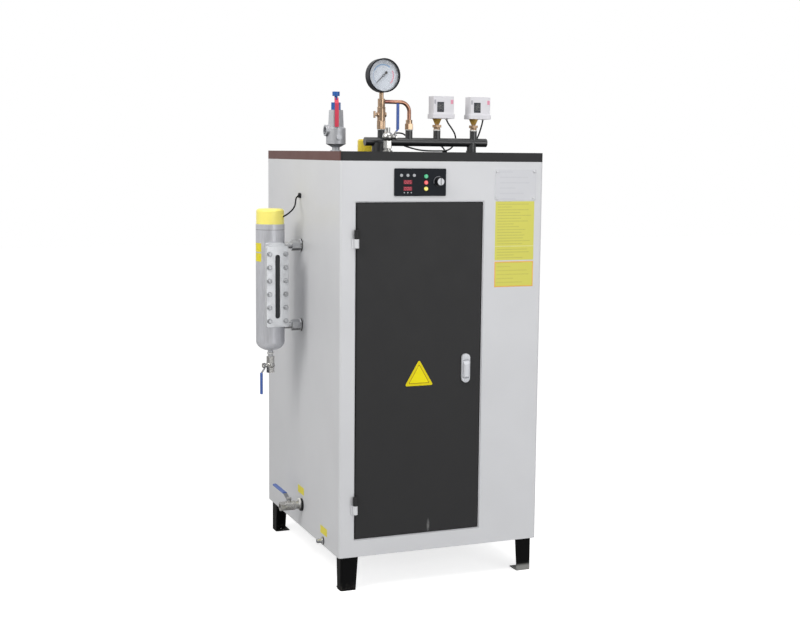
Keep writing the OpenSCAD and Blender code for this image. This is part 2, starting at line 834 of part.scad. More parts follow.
// The folded rear wall
module back_panel() color("gainsboro") at_cabinet() translate([0, body_d, 0]) mirror([0, 1, 0]) {
    linear_extrude(wall_h) channel_outline(body_w, wall_return, corner_r, sheet);
}

// The folded front wall with the door's opening and jamb
module front_panel() color("lightgray") at_cabinet() {
    difference() {
        linear_extrude(wall_h) channel_outline(body_w, wall_return, corner_r, sheet);
        translate([open_x, -over, open_z]) cube([open_w, jamb_depth, open_h]);
    }
    difference() {
        translate([open_x - sheet, sheet, open_z - sheet]) {
            cube([open_w + 2*sheet, jamb_depth - sheet, open_h + 2*sheet]);
        }
        translate([open_x, 0, open_z]) cube([open_w, jamb_depth + over, open_h]);
    }
}

// The lid, a folded tray that stands on the walls with a lip inside them
module top_lid() color("#3a3c3f") at_cabinet() difference() {
    lip = lid_fit + sheet;
    union() {
        translate([0, 0, wall_h]) linear_extrude(lid_skirt) round_outline(body_w, body_d, corner_r);
        translate([0, 0, wall_h - lid_lip]) linear_extrude(lid_lip + sheet) inner_outline(lip);
    }
    translate([0, 0, wall_h - lid_lip - over]) linear_extrude(lid_lip + over + sheet) inner_outline(lip + sheet);
    translate([0, 0, wall_h + sheet]) linear_extrude(lid_skirt - 2*sheet) inner_outline(sheet);
    lid_holes();
}

// One flange of a leg, narrower at the foot, standing along +X
module leg_flange(cut) upright(leg_t) {
    polygon([[leg_bend_r, 0], [leg_foot_w - cut, 0], [leg_top_w - cut, leg_h], [leg_bend_r, leg_h]]);
}

// A pressed angle with a foot plate and a top plate, with its corner at the origin and its flanges along +X and +Y
module leg(side_cut) color("#202124") {
    leg_flange(0);
    mirror([1, -1, 0]) leg_flange(side_cut);
    linear_extrude(leg_h) intersection() {
        difference() {
            translate([leg_bend_r, leg_bend_r]) circle(leg_bend_r);
            translate([leg_bend_r, leg_bend_r]) circle(leg_bend_r - leg_t);
        }
        square(leg_bend_r);
    }
    plate_w = foot_plate_w - leg_t;
    difference() {
        translate([leg_t, leg_t, 0]) linear_extrude(leg_t) difference() {
            square(plate_w);
            square(leg_bend_r - leg_t);
        }
        translate([foot_plate_w/2, foot_plate_w/2, -over]) cylinder(d = anchor_d, h = leg_t + 2*over);
    }
    translate([leg_t, leg_t, leg_h - leg_t]) linear_extrude(leg_t) difference() {
        square(leg_top_w - leg_t);
        square(leg_bend_r - leg_t);
    }
}

// Places a leg at a corner of the cabinet, where sx and sy are -1 or 1
module leg_at(sx, sy) translate([sx*(body_w/2 - leg_inset), sy*(body_d/2 - leg_inset), 0]) {
    mirror([sx > 0 ? 1 : 0, 0, 0]) mirror([0, sy > 0 ? 1 : 0, 0]) leg(sy < 0 ? leg_side_cut : 0);
}
module leg_front_left() leg_at(-1, -1);
module leg_front_right() leg_at(1, -1);
module leg_back_left() leg_at(-1, 1);
module leg_back_right() leg_at(1, 1);

// One half of a lift-off hinge: a knuckle on the axis and a leaf on the side that side points to
module hinge_half(side) {
    cylinder(d = knuckle_d, h = knuckle_h);
    leaf_x = side > 0 ? door_gap/2 : -door_gap/2 - leaf_w;
    translate([leaf_x, hinge_out - leaf_t, 0]) cube([leaf_w, leaf_t, knuckle_h]);
}

// The lower hinge halves on the front wall, with their pins
module frame_hinge_leaves() color("gainsboro") at_cabinet() for (z = hinge_heights) {
    translate([hinge_x, -hinge_out, z - knuckle_h]) {
        hinge_half(-1);
        translate([0, 0, knuckle_h]) cylinder(d = hinge_pin_d, h = hinge_pin_in);
    }
}

// The upper hinge halves on the door, bored for the pins
module door_hinge_leaves() color("#3a3c3f") at_cabinet() for (z = hinge_heights) {
    translate([hinge_x, -hinge_out, z + play]) difference() {
        hinge_half(1);
        translate([0, 0, -over]) cylinder(d = hinge_pin_d + 2*pin_clear, h = hinge_pin_in + over);
    }
}

// The door, a sheet with all four edges turned in
module door() color("#3a3c3f") at_cabinet() translate([door_left, 0, door_bottom]) {
    linear_extrude(door_h) channel_outline(door_w, door_depth, door_bend_r, sheet);
    for (z = [0, door_h - sheet]) translate([sheet, sheet, z]) cube([door_w - 2*sheet, door_depth - sheet, sheet]);
}

// The latch's housing on the door: a slot for the handle, its pin, a lock above it and a push button below it
module latch_housing() color("whitesmoke") at_cabinet() translate([latch_x, 0, latch_z]) {
    difference() {
        translate([0, -latch_depth, 0]) upright(latch_depth) slot_outline(latch_w, latch_h);
        translate([-handle_slot_w/2, -latch_depth - over, handle_pivot_up - handle_l - handle_gap]) {
            cube([handle_slot_w, latch_depth + 2*over, handle_l + handle_eye_r + 2*handle_gap]);
        }
    }
    translate([-handle_slot_w/2, -handle_pivot_out, handle_pivot_up]) along_x(handle_pin_d, handle_slot_w);
    translate([0, -latch_depth - lock_out, lock_z]) along_y(lock_d, lock_out);
    translate([0, -latch_depth - button_out, button_z]) along_y(button_d, button_out);
}

// The lift handle on its pin, with its front edges rounded
module latch_handle() color("white") at_cabinet() translate([latch_x, -handle_pivot_out, handle_z]) difference() {
    front = handle_out - handle_pivot_out;
    union() {
        translate([-handle_w/2, 0, 0]) along_x(2*handle_eye_r, handle_w);
        intersection() {
            translate([-handle_w/2, -front, -handle_l]) linear_extrude(handle_l) {
                round_outline(handle_w, front + 3*handle_eye_r, handle_edge_r);
            }
            translate([-handle_w/2, 0, 0]) rotate([90, 0, 90]) linear_extrude(handle_w) {
                polygon([[handle_eye_r, 0], [handle_eye_r, -handle_l], [-handle_eye_r, -handle_l],
                    [-front, handle_eye_r - handle_l], [-front, -2*handle_eye_r], [-handle_eye_r, 0]]);
            }
        }
    }
    translate([-handle_w/2 - over, 0, 0]) along_x(handle_pin_d + 2*pin_clear, handle_w + 2*over);
}

// Moves to the control panel's lower left corner, on the front wall's face
module at_panel() at_cabinet() translate([panel_left, 0, panel_z]) children();

// The control panel's plate, bored for the selector knob
module control_panel() color("#1c1d1f") at_panel() difference() {
    translate([0, -panel_t, 0]) upright(panel_t) round_outline(panel_w, panel_h, panel_r);
    translate([knob_x, -panel_t - over, knob_z]) along_y(knob_spindle_d + 2*pin_clear, panel_t + 2*over);
}

// The two number displays
module panel_displays() color("firebrick") at_panel() for (i = [0, 1]) {
    translate([display_x - display_w/2, -panel_t - display_t, display_z + i*display_pitch - display_h/2]) {
        cube([display_w, display_t, display_h]);
    }
}

// One pilot lamp with a round edge, i places above the middle lamp
module lamp(i) at_panel() translate([lamp_x, -panel_t, lamp_z + i*lamp_pitch]) rotate([90, 0, 0]) rotate_extrude() {
    edge_x = lamp_d/2 - lamp_edge_r;
    edge_z = lamp_h - lamp_edge_r;
    square([lamp_d/2, edge_z]);
    translate([0, edge_z]) square([edge_x, lamp_edge_r]);
    translate([edge_x, edge_z]) intersection() {
        circle(lamp_edge_r);
        square(lamp_edge_r);
    }
}
module lamp_green() color("limegreen") lamp(1);
module lamp_red() color("red") lamp(0);
module lamp_yellow() color("gold") lamp(-1);

// The white signal lights over the displays and the keys below them
module panel_lights() color("white") at_panel() for (i = [-1, 0, 1]) {
    translate([display_x + i*led_pitch, -panel_t - led_t, led_z]) along_y(led_d, led_t);
    translate([display_x + i*key_pitch, -panel_t - led_t, key_z]) along_y(key_d, led_t);
}

// The selector knob with its skirt, its slotted barrel and its spindle
module selector_knob() color("silver") at_panel() translate([knob_x, -panel_t - play, knob_z]) {
    translate([0, -knob_skirt_h, 0]) along_y(knob_d, knob_skirt_h);
    difference() {
        translate([0, -knob_h, 0]) along_y(knob_barrel_d, knob_h);
        translate([-knob_slot_w/2, -knob_h - over, -knob_barrel_d]) {
            cube([knob_slot_w, knob_slot_in + over, 2*knob_barrel_d]);
        }
    }
    along_y(knob_spindle_d, panel_t);
}

// The insulated vessel on the tray, with its heater neck and the pipe stubs to the fittings
module boiler_vessel() color("silver") at_cabinet() {
    translate([vessel_x, vessel_y, sheet]) rotate_extrude() {
        square([vessel_d/2, vessel_h - sheet - vessel_edge_r]);
        square([vessel_d/2 - vessel_edge_r, vessel_h - sheet]);
        translate([vessel_d/2 - vessel_edge_r, vessel_h - sheet - vessel_edge_r]) circle(vessel_edge_r);
    }
    translate([vessel_x, heater_face_y, heater_z]) {
        along_y(heater_d - 2*heater_step, heater_neck + vessel_d/2);
        along_y(heater_d, heater_t);
    }
    for (p = lid_stubs) translate([p[0], p[1], vessel_h - vessel_edge_r]) {
        cylinder(d = stub_d, h = vessel_drop + vessel_edge_r);
    }
    for (p = wall_stubs) translate([0, p[0], p[1]]) along_x(stub_d, vessel_x);
}

// The heater's cover plate and terminal cover in front of the vessel's flange
module heater_cover() color("gray") at_cabinet() translate([vessel_x, heater_face_y, heater_z]) rotate([90, 0, 0]) {
    cylinder(d = heater_d, h = heater_t);
    translate([0, 0, heater_t]) cylinder(d = heater_cover_d, h = heater_cover_h);
}

// The level column with its dished end and neck
module level_column() color("silver") at_cabinet() translate([col_x, col_y, 0]) {
    translate([0, 0, col_bottom]) cylinder(d = col_d, h = col_top - col_bottom);
    translate([0, 0, col_bottom]) scale([1, 1, col_dish/(col_d/2)]) intersection() {
        sphere(d = col_d);
        translate([-col_d, -col_d, -2*col_d]) cube([2*col_d, 2*col_d, 2*col_d]);
    }
    translate([0, 0, drain_top]) cylinder(d = col_neck_d, h = col_neck_h + col_dish);
}

// The column's cap with a round top edge and a bush for the cable
module level_cap() color("gold") at_cabinet() translate([col_x, col_y, col_top]) {
    rotate_extrude() {
        square([cap_d/2, cap_h - cap_r]);
        square([cap_d/2 - cap_r, cap_h]);
        translate([cap_d/2 - cap_r, cap_h - cap_r]) circle(cap_r);
    }
    translate([0, 0, cap_h/2]) rotate(cap_exit) along_x(bush_d, cap_d/2 + bush_l);
}

// The sight glass frame: a front plate on a narrower neck, which is shaped to the column at its back
module sight_frame() color("silver") at_cabinet() difference() {
    translate([col_x, sight_front, sight_z]) {
        upright(sight_plate_t) difference() {
            translate([-sight_w/2, -sight_h/2]) round_outline(sight_w, sight_h, sight_r);
            slot_outline(slot_w, slot_h);
        }
        translate([0, sight_plate_t - over, 0]) upright(sight_out + col_d/4 - sight_plate_t + over) difference() {
            translate([-sight_neck_w/2, sight_neck_r - sight_h/2]) {
                round_outline(sight_neck_w, sight_h - sight_neck_r + sight_neck_up, sight_neck_r);
            }
            slot_outline(slot_w, slot_h);
        }
    }
    translate([col_x, col_y, sight_z - sight_h]) cylinder(d = col_d + 2*seat, h = 2*sight_h);
}

// The glass in the sight slot
module sight_glass() color("#1d2a30") at_cabinet() translate([col_x, sight_front + glass_in, sight_z]) {
    upright(glass_t) slot_outline(slot_w - 2*seat, slot_h - 2*seat);
}

// The two level pipes with their union nuts and washers
module level_pipes() color("gray") at_cabinet() difference() {
    for (z = [pipe_upper, pipe_lower]) translate([0, col_y, z]) {
        translate([col_x, 0, 0]) along_x(level_pipe_d, col_out);
        translate([-washer_t, 0, 0]) along_x(washer_d, washer_t);
        translate([-washer_t - union_l, 0, 0]) rotate([0, 90, 0]) hex_bar(union_af, union_l);
    }
    translate([col_x, col_y, col_bottom]) cylinder(d = col_d + 2*seat, h = col_top - col_bottom);
}

// A ball valve's stem with its nut, along +X from the middle of the ball
module valve_stem(ball_d) {
    nut_x = blade_at(ball_d) + blade_t + 2*play;
    along_x(stem_d + 2*stem_collar, blade_at(ball_d));
    along_x(stem_d, nut_x + stem_nut_l);
    translate([nut_x, 0, 0]) rotate([0, 90, 0]) hex_bar(stem_nut_af, stem_nut_l);
}

// A cranked lever with a sleeve that starts at a distance: its stem runs along +X and the lever points up
module valve_lever(ball_d, l, start) translate([blade_at(ball_d) + play, 0, 0]) {
    outer = sleeve_rise + blade_t;
    tip = l - sleeve_end;
    difference() {
        union() {
            along_x(lever_eye_d, blade_t);
            translate([0, blade_w/2, 0]) rotate([90, 0, 0]) linear_extrude(blade_w) {
                polygon([[0, 0], [blade_t, 0], [blade_t, crank_from], [outer, start], [outer, tip],
                    [sleeve_rise, tip], [sleeve_rise, start], [0, crank_from]]);
            }
        }
        translate([-over, 0, 0]) along_x(stem_d + 2*pin_clear, blade_t + 2*over);
    }
    translate([sleeve_rise + blade_t/2 - sleeve_t/2, -sleeve_w/2, start]) {
        linear_extrude(l - start) round_outline(sleeve_t, sleeve_w, sleeve_r);
    }
}

// The steam valve on the lid, with its outlet on top
module steam_valve() color("silver") at_cabinet() translate([steam_x, steam_y, body_h]) {
    difference() {
        union() {
            cylinder(d = steam_collar_d, h = steam_collar_t);
            cylinder(d = stub_d, h = steam_ball_z);
            translate([0, 0, steam_hex_z]) hex_bar(steam_hex, steam_hex_h);
            translate([0, 0, steam_ball_z]) sphere(d = steam_ball_d);
            translate([0, 0, steam_ball_z]) cylinder(d = steam_neck_d, h = steam_top - steam_ball_z);
        }
        translate([0, 0, steam_top - outlet_depth]) cylinder(d = steam_bore, h = outlet_depth + over);
    }
    translate([0, 0, steam_ball_z]) valve_stem(steam_ball_d);
}
module steam_lever() color("royalblue") at_cabinet() translate([steam_x, steam_y, body_h + steam_ball_z]) {
    valve_lever(steam_ball_d, steam_lever_l, sleeve_from);
}

// The blowdown valve on the left wall, with its stem up
module blowdown_valve() color("silver") at_cabinet() translate([0, blow_y, blow_z]) {
    collar_x = -blow_grommet_t - blow_collar_t;
    difference() {
        union() {
            translate([collar_x, 0, 0]) along_x(blow_collar_d, blow_collar_t);
            translate([collar_x - blow_pipe_l, 0, 0]) along_x(blow_pipe_d, blow_pipe_l);
            translate([-blow_end_out, 0, 0]) rotate([0, 90, 0]) {
                hex_bar(blow_hex, blow_end_out + collar_x - blow_pipe_l);
            }
            translate([-blow_stem_out - blow_barrel_l/2, 0, 0]) along_x(blow_ball_d, blow_barrel_l);
        }
        translate([-blow_end_out - over, 0, 0]) along_x(blow_bore, outlet_depth + over);
    }
    translate([-blow_stem_out, 0, 0]) rotate([0, -90, 0]) valve_stem(blow_ball_d);
}
module blowdown_lever() color("royalblue") at_cabinet() translate([-blow_stem_out, blow_y, blow_z]) {
    rotate([-90, -90, 0]) valve_lever(blow_ball_d, blow_lever_l, blow_sleeve_from);
}

// The column's drain valve with its stem to the left
module level_drain_valve() color("silver") at_cabinet() translate([col_x, col_y, 0]) {
    difference() {
        union() {
            translate([0, 0, drain_top - drain_l]) hex_bar(drain_hex, drain_l);
            translate([0, 0, drain_mid]) sphere(d = drain_ball_d);
        }
        translate([0, 0, drain_top - drain_l - over]) cylinder(d = drain_bore, h = outlet_depth + over);
    }
    translate([0, 0, drain_mid]) rotate([0, 0, 180]) valve_stem(drain_ball_d);
}
module level_drain_lever() color("royalblue") at_cabinet() translate([col_x, col_y, drain_mid]) {
    rotate([0, 180, 0]) valve_lever(drain_ball_d, drain_lever_l, sleeve_from);
}

// The rubber grommets where the pipe and the cables pass through the sheet
module cable_grommets() color("#18191b") {
    at_cabinet() {
        translate([-grommet_t, level_grommet_y, level_end[2]]) along_x(grommet_d, grommet_t);
        translate([-blow_grommet_t, blow_y, blow_z]) along_x(blow_grommet_d, blow_grommet_t);
    }
    on_lid(switch_a_x) lid_grommet(cable_a_end);
    on_lid(switch_b_x) lid_grommet(cable_b_end);
    at_probe() lid_grommet(probe_cable_end);
}

// A grommet on the lid below a cable's end
module lid_grommet(end) translate([end[0], end[1], 0]) cylinder(d = grommet_d, h = grommet_t);

// The water inlet's pipe and collar
module water_inlet() color("gray") at_cabinet() translate([0, inlet_y, inlet_z]) difference() {
    union() {
        translate([-inlet_l, 0, 0]) along_x(inlet_d, inlet_l);
        translate([-inlet_collar_t, 0, 0]) along_x(inlet_collar_d, inlet_collar_t);
    }
    translate([-inlet_l - over, 0, 0]) along_x(inlet_bore, inlet_l + over);
}

// Moves to a point of the fittings' row on the lid
module on_lid(x) at_cabinet() translate([x, row_y, body_h]) children();

// The safety valve's body with its bonnet, its discharge boss and a plug in front
module safety_valve() color("lightgray") on_lid(safety_x) difference() {
    union() {
        cylinder(d = safety_collar_d, h = safety_collar_t);
        rotate_extrude() polygon([[0, 0], [safety_neck_d/2, 0], [safety_neck_d/2, safety_neck_h],
            [safety_d/2, safety_body_z], [safety_d/2, safety_shoulder_z - safety_bevel],
            [safety_d/2 - safety_bevel, safety_shoulder_z], [0, safety_shoulder_z]]);
        translate([0, 0, safety_shoulder_z - over]) rotate(lift_turn + half_facet) {
            cylinder(d1 = bonnet_af/cos(half_facet), d2 = bonnet_top_af/cos(half_facet),
                h = bonnet_top - safety_shoulder_z + over, $fn = 8);
        }
        translate([-discharge_out, 0, discharge_z]) along_x(discharge_d, discharge_out);
        translate([0, -safety_d/2 - safety_plug_out, safety_plug_z]) along_y(safety_plug_d, safety_d/2);
    }
    translate([-discharge_out - over, 0, discharge_z]) along_x(discharge_bore, outlet_depth + over);
}

// The blue cap with its spindle, lift knob and the lug that carries the lever's pin
module safety_cap() color("#1d5aa6") on_lid(safety_x) {
    translate([0, 0, bonnet_top]) hex_bar(safety_cap_af, safety_cap_top - bonnet_top);
    translate([0, 0, safety_cap_top]) cylinder(d = lift_spindle_d, h = lift_knob_z - safety_cap_top);
    translate([0, 0, lift_knob_z]) cylinder(d = lift_knob_d, h = lift_knob_h);
    rotate(lift_turn) translate([0, -lift_pin_out, lift_pin_z]) {
        translate([-lug_w/2, -lug_h/2, -lug_h/2]) cube([lug_w, lift_pin_out + lug_h/2, lug_h]);
        translate([-lift_w/2, 0, 0]) along_x(lift_pin_d, lift_w);
    }
}

// The red lift lever, forked round the lug and hanging in front of the bonnet
module safety_lever() color("crimson") on_lid(safety_x) rotate(lift_turn)
translate([-lift_w/2, -lift_pin_out, lift_pin_z]) difference() {
    bend_z = -3*lift_eye_r;
    union() {
        along_x(2*lift_eye_r, lift_w);
        rotate([90, 0, 90]) linear_extrude(lift_w) polygon([[-lift_eye_r, 0], [0, -lift_eye_r], [lift_face_y, bend_z],
            [lift_face_y, -lift_l], [lift_face_y - lift_t, -lift_l], [lift_face_y - lift_t, bend_z + lift_t]]);
    }
    translate([-over, 0, 0]) along_x(lift_pin_d + 2*pin_clear, lift_w + 2*over);
    translate([lift_w/2 - lug_w/2 - play, 0, 0]) along_x(2*fork_r, lug_w + 2*play);
}

// The manifold pipe with its riser, its post and its sockets
module manifold() color("#26282b") on_lid(0) {
    translate([manifold_x, 0, manifold_z]) along_x(manifold_d, manifold_l);
    translate([riser_x, 0, 0]) cylinder(d = riser_d, h = riser_h);
    translate([post_x, 0, 0]) cylinder(d = post_d, h = manifold_z);
    for (x = sockets) translate([x, 0, manifold_z]) cylinder(d = socket_d, h = socket_top - manifold_z);
}

// The gauge's cock and tee, bored for the handle's spindle
module gauge_cock() color("goldenrod") on_lid(gauge_x) difference() {
    boss_out = cock_d/2 + cock_boss_out;
    union() {
        translate([0, 0, socket_top]) hex_bar(cock_hex, cock_hex_h);
        translate([0, 0, socket_top]) cylinder(d = cock_d, h = cock_top - socket_top);
        translate([0, 0, cock_top]) cylinder(d = tee_d, h = tee_top - cock_top);
        translate([0, 0, tee_top]) cylinder(d = gauge_stem_d, h = gauge_z - gauge_d/2 + gauge_stem_d/4 - tee_top);
        translate([-boss_out, 0, cock_z]) along_x(cock_boss_d, 2*boss_out);
    }
    translate([0, gauge_front - row_y, gauge_z]) along_y(gauge_d + 2*seat, gauge_depth);
    translate([-boss_out - over, 0, cock_z]) along_x(cock_spindle_d + 2*pin_clear, cock_d/2 + over);
}

// The cock's tee handle
module gauge_cock_handle() color("khaki") on_lid(gauge_x) translate([-cock_bar_out, 0, cock_z]) {
    along_x(cock_spindle_d, cock_bar_out - cock_spindle_in);
    translate([0, 0, -cock_bar_l/2]) cylinder(d = cock_spindle_d, h = cock_bar_l);
}

// Moves to the middle of the gauge's front rim
module at_gauge() on_lid(gauge_x) translate([0, gauge_front - row_y, gauge_z]) children();

// The gauge's case, a cup with a rim
module gauge_case() color("#1b1c1e") at_gauge() difference() {
    along_y(gauge_d, gauge_depth);
    translate([0, -over, 0]) along_y(dial_d, dial_in + dial_t + over);
}

// The dial plate with the needle's spindle
module gauge_dial() color("aliceblue") at_gauge() translate([0, dial_in, 0]) {
    pin_l = needle_gap + needle_t + needle_pin_end;
    along_y(dial_d - 2*seat, dial_t);
    translate([0, -pin_l, 0]) along_y(needle_pin_d, pin_l);
}

// The needle, at rest on the dial's lower left
module gauge_needle() color("black") at_gauge()
translate([0, dial_in - needle_gap, 0]) rotate([90, 0, 0]) difference() {
    union() {
        cylinder(d = needle_hub_d, h = needle_t);
        rotate(needle_rest) linear_extrude(needle_t) {
            translate([-needle_tail, 0]) circle(d = needle_blob_d);
            polygon([[-needle_tail, -needle_w/2], [-needle_tail, needle_w/2], [needle_l - needle_point, needle_w/4],
                [needle_l, 0], [needle_l - needle_point, -needle_w/4]]);
        }
    }
    translate([0, 0, -over]) cylinder(d = needle_pin_d + 2*pin_clear, h = needle_t + 2*over);
}

// The gauge's window
module gauge_window() color("lightblue", 0.3) at_gauge() translate([0, window_in, 0]) {
    along_y(dial_d - 2*seat, window_t);
}

// The copper tube, bent from its nut over to the cock's tee
module copper_tube() color("#c87f5a") on_lid(0) {
    foot = socket_top + copper_nut_h;
    bend_x = tube_x - copper_bend;
    bend_z = copper_z - copper_bend;
    translate([tube_x, 0, foot]) cylinder(d = copper_d, h = bend_z - foot);
    translate([bend_x, 0, bend_z]) rotate([90, 0, 0]) rotate_extrude(angle = 90) {
        translate([copper_bend, 0]) circle(d = copper_d);
    }
    difference() {
        translate([gauge_x, 0, copper_z]) along_x(copper_d, bend_x - gauge_x);
        translate([gauge_x, 0, copper_z - copper_d]) cylinder(d = tee_d + 2*seat, h = 2*copper_d);
    }
}

// The tube's nut on its socket
module copper_nut() color("goldenrod") on_lid(tube_x) translate([0, 0, socket_top]) {
    hex_bar(copper_nut_af, copper_hex_h);
    cylinder(d = copper_nut_d, h = copper_nut_h);
}

// The switch housings with a wider foot, a hollow for the window and a bush for the cable
module switch_housings() color("whitesmoke") for (x = switches) on_lid(x) translate([0, 0, switch_z]) {
    left = switch_shift - switch_w/2;
    foot_w = switch_w + 2*switch_foot;
    foot_d = switch_d + 2*switch_foot;
    difference() {
        union() {
            translate([left, -switch_d/2, 0]) linear_extrude(switch_h) round_outline(switch_w, switch_d, switch_r);
            translate([left - switch_foot, -foot_d/2, 0]) linear_extrude(switch_foot_h) {
                round_outline(foot_w, foot_d, switch_r + switch_foot);
            }
        }
        translate([left + window_left, -switch_d/2 - over, window_up]) {
            cube([window_w, window_hollow + over, window_h]);
        }
    }
    translate([switch_exit, 0, -bush_l]) cylinder(d = bush_d, h = bush_l);
}

// The dark windows in the housings
module switch_windows() color("#2b2f34") for (x = switches) on_lid(x) {
    left = switch_shift - switch_w/2 + window_left;
    translate([left + seat, window_hollow/2 - switch_d/2, switch_z + window_up + seat]) {
        cube([window_w - 2*seat, window_hollow/2, window_h - 2*seat]);
    }
}

// The switches' funnel-shaped bellows with their nuts and rings, down to their sockets
module switch_bellows() color("goldenrod") for (x = switches) on_lid(x) {
    nut_top = switch_z - bellows_h;
    translate([0, 0, nut_top]) cylinder(d1 = bellows_foot_d, d2 = bellows_d, h = bellows_h);
    translate([0, 0, nut_top - bellows_nut_h]) hex_bar(bellows_nut_af, bellows_nut_h);
    translate([0, 0, socket_top]) cylinder(d = bellows_ring_d, h = nut_top - socket_top);
}

// Moves to the level probe's place on the lid
module at_probe() at_cabinet() translate([probe_x, probe_y, body_h]) children();

// The level probe's cap with its gland
module probe_cap() color("gold") at_probe() {
    rotate_extrude() {
        square([probe_d/2, probe_h - probe_r]);
        square([probe_d/2 - probe_r, probe_h]);
        translate([probe_d/2 - probe_r, probe_h - probe_r]) circle(probe_r);
    }
    translate([0, 0, probe_h/2]) along_x(gland_d, probe_d/2 + gland_l);
}

// A point on a smooth curve through the points b and c, with neighbours a and d
function curve_point(a, b, c, d, t) = (2*b + (c - a)*t + (2*a - 5*b + 4*c - d)*t*t + (3*b - a - 3*c + d)*t*t*t)/2;
function last(list) = list[len(list) - 1];
function unit(v) = v/norm(v);
function across(v, t) = unit(v - (v*t)*t);
// The route as a smooth line with a number of steps between its points
function smooth(r, steps) = [for (i = [0 : len(r) - 2], k = [0 : steps - 1])
    curve_point(r[max(i - 1, 0)], r[i], r[i + 1], r[min(i + 2, len(r) - 1)], k/steps), last(r)];
// The directions along the line, square to the given faces at both ends
function headings(p, first, end) = [for (i = [0 : len(p) - 1]) i == 0 ? first
    : i == len(p) - 1 ? end : unit(p[i + 1] - p[i - 1])];
// One side direction at each point, carried along the line without twist
function sides(t, first) = [for (i = 0, n = across(first, t[0]); i < len(t);
    i = i + 1, n = i < len(t) ? across(n, t[i]) : n) n];

// A cable swept along its route, cut to the faces at its ends, whose directions point along the cable
module cable(route, first, end) {
    round_sides = 8;
    line = smooth(route, 3);
    heading = headings(line, first, end);
    side = sides(heading, [0, 1, 0.2]);
    points = [for (i = [0 : len(line) - 1], k = [0 : round_sides - 1]) let (a = 360*k/round_sides)
        line[i] + cable_d/2*(cos(a)*side[i] + sin(a)*cross(heading[i], side[i]))];
    walls = [for (i = [0 : len(line) - 2], k = [0 : round_sides - 1])
        let (n = (k + 1) % round_sides, b = i*round_sides) [b + k, b + round_sides + k, b + round_sides + n, b + n]];
    near_lid = [for (k = [0 : round_sides - 1]) k];
    far_lid = [for (k = [round_sides - 1 : -1 : 0]) (len(line) - 1)*round_sides + k];
    polyhedron(points, concat([near_lid], walls, [far_lid]));
}
module level_cable() color("#232427") at_cabinet() cable(level_route, cap_face, [1, 0, 0]);
module switch_cable_a() color("#232427") on_lid(switch_a_x) cable(switch_steps_a, [0, 0, -1], [0, 0, -1]);
module switch_cable_b() color("#232427") on_lid(switch_b_x) cable(switch_steps_b, [0, 0, -1], [0, 0, -1]);
module probe_cable() color("#232427") at_probe() cable(probe_steps, [1, 0, 0], [0, 0, -1]);

base_tray();
left_panel();
right_panel();
back_panel();
front_panel();
top_lid();
leg_front_left();
leg_front_right();
leg_back_left();
leg_back_right();
frame_hinge_leaves();
control_panel();
panel_displays();
lamp_green();
lamp_red();
lamp_yellow();
panel_lights();
selector_knob();
boiler_vessel();
heater_cover();
level_column();
level_cap();
sight_frame();
sight_glass();
level_pipes();
level_drain_valve();
level_drain_lever();
level_cable();
cable_grommets();
blowdown_valve();
blowdown_lever();
water_inlet();
safety_valve();
safety_cap();
safety_lever();
manifold();
gauge_cock();
gauge_cock_handle();
gauge_case();
gauge_dial();
gauge_needle();
gauge_window();
copper_tube();
copper_nut();
steam_valve();
steam_lever();
switch_housings();
switch_windows();
switch_bellows();
switch_cable_a();
switch_cable_b();
probe_cap();
probe_cable();
door();
door_hinge_leaves();
latch_housing();
latch_handle();
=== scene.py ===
# %% [markdown]
# # A small electric steam boiler
# The real object is a sheet-steel cabinet on four legs. A level column hangs on its left wall, a door
# covers the boiler, and a row of fittings stands on its lid. Its solids are already built and packed, so
# this lesson loads them as a fixed frame and gives them their looks. One helper turns millimetres from
# the cabinet's lower front left corner into a point of the scene, so that every size below can be read
# off a ruler.

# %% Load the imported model
import json
import math

import bmesh
import bpy
from mathutils import Matrix, Vector

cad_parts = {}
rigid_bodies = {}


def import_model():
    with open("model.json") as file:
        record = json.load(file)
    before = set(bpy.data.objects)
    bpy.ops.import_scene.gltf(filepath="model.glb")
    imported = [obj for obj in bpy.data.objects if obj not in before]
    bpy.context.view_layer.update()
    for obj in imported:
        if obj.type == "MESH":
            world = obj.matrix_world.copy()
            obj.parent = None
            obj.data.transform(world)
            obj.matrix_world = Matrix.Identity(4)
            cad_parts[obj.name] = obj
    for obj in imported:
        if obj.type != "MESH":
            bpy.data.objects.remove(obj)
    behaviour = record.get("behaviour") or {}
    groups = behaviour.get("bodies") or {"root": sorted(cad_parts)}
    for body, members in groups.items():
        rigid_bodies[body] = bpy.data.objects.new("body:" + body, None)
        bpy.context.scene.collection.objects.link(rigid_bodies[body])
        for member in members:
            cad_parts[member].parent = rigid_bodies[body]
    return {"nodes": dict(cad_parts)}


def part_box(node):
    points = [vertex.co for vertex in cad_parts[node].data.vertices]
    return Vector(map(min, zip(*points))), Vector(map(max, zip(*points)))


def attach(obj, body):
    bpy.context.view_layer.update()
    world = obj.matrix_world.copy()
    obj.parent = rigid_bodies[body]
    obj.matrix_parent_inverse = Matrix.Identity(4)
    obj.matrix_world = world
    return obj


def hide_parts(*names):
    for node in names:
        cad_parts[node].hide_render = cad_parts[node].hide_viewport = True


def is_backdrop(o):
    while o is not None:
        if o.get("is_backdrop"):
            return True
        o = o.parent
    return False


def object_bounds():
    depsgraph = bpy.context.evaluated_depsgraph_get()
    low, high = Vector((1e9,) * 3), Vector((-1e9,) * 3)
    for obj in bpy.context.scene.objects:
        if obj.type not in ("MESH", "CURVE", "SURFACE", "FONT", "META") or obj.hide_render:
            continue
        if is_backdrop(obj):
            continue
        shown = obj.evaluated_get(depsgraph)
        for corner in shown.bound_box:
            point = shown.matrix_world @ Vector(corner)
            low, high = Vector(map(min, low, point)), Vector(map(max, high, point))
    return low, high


for leftover in list(bpy.data.objects):
    bpy.data.objects.remove(leftover)
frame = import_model()
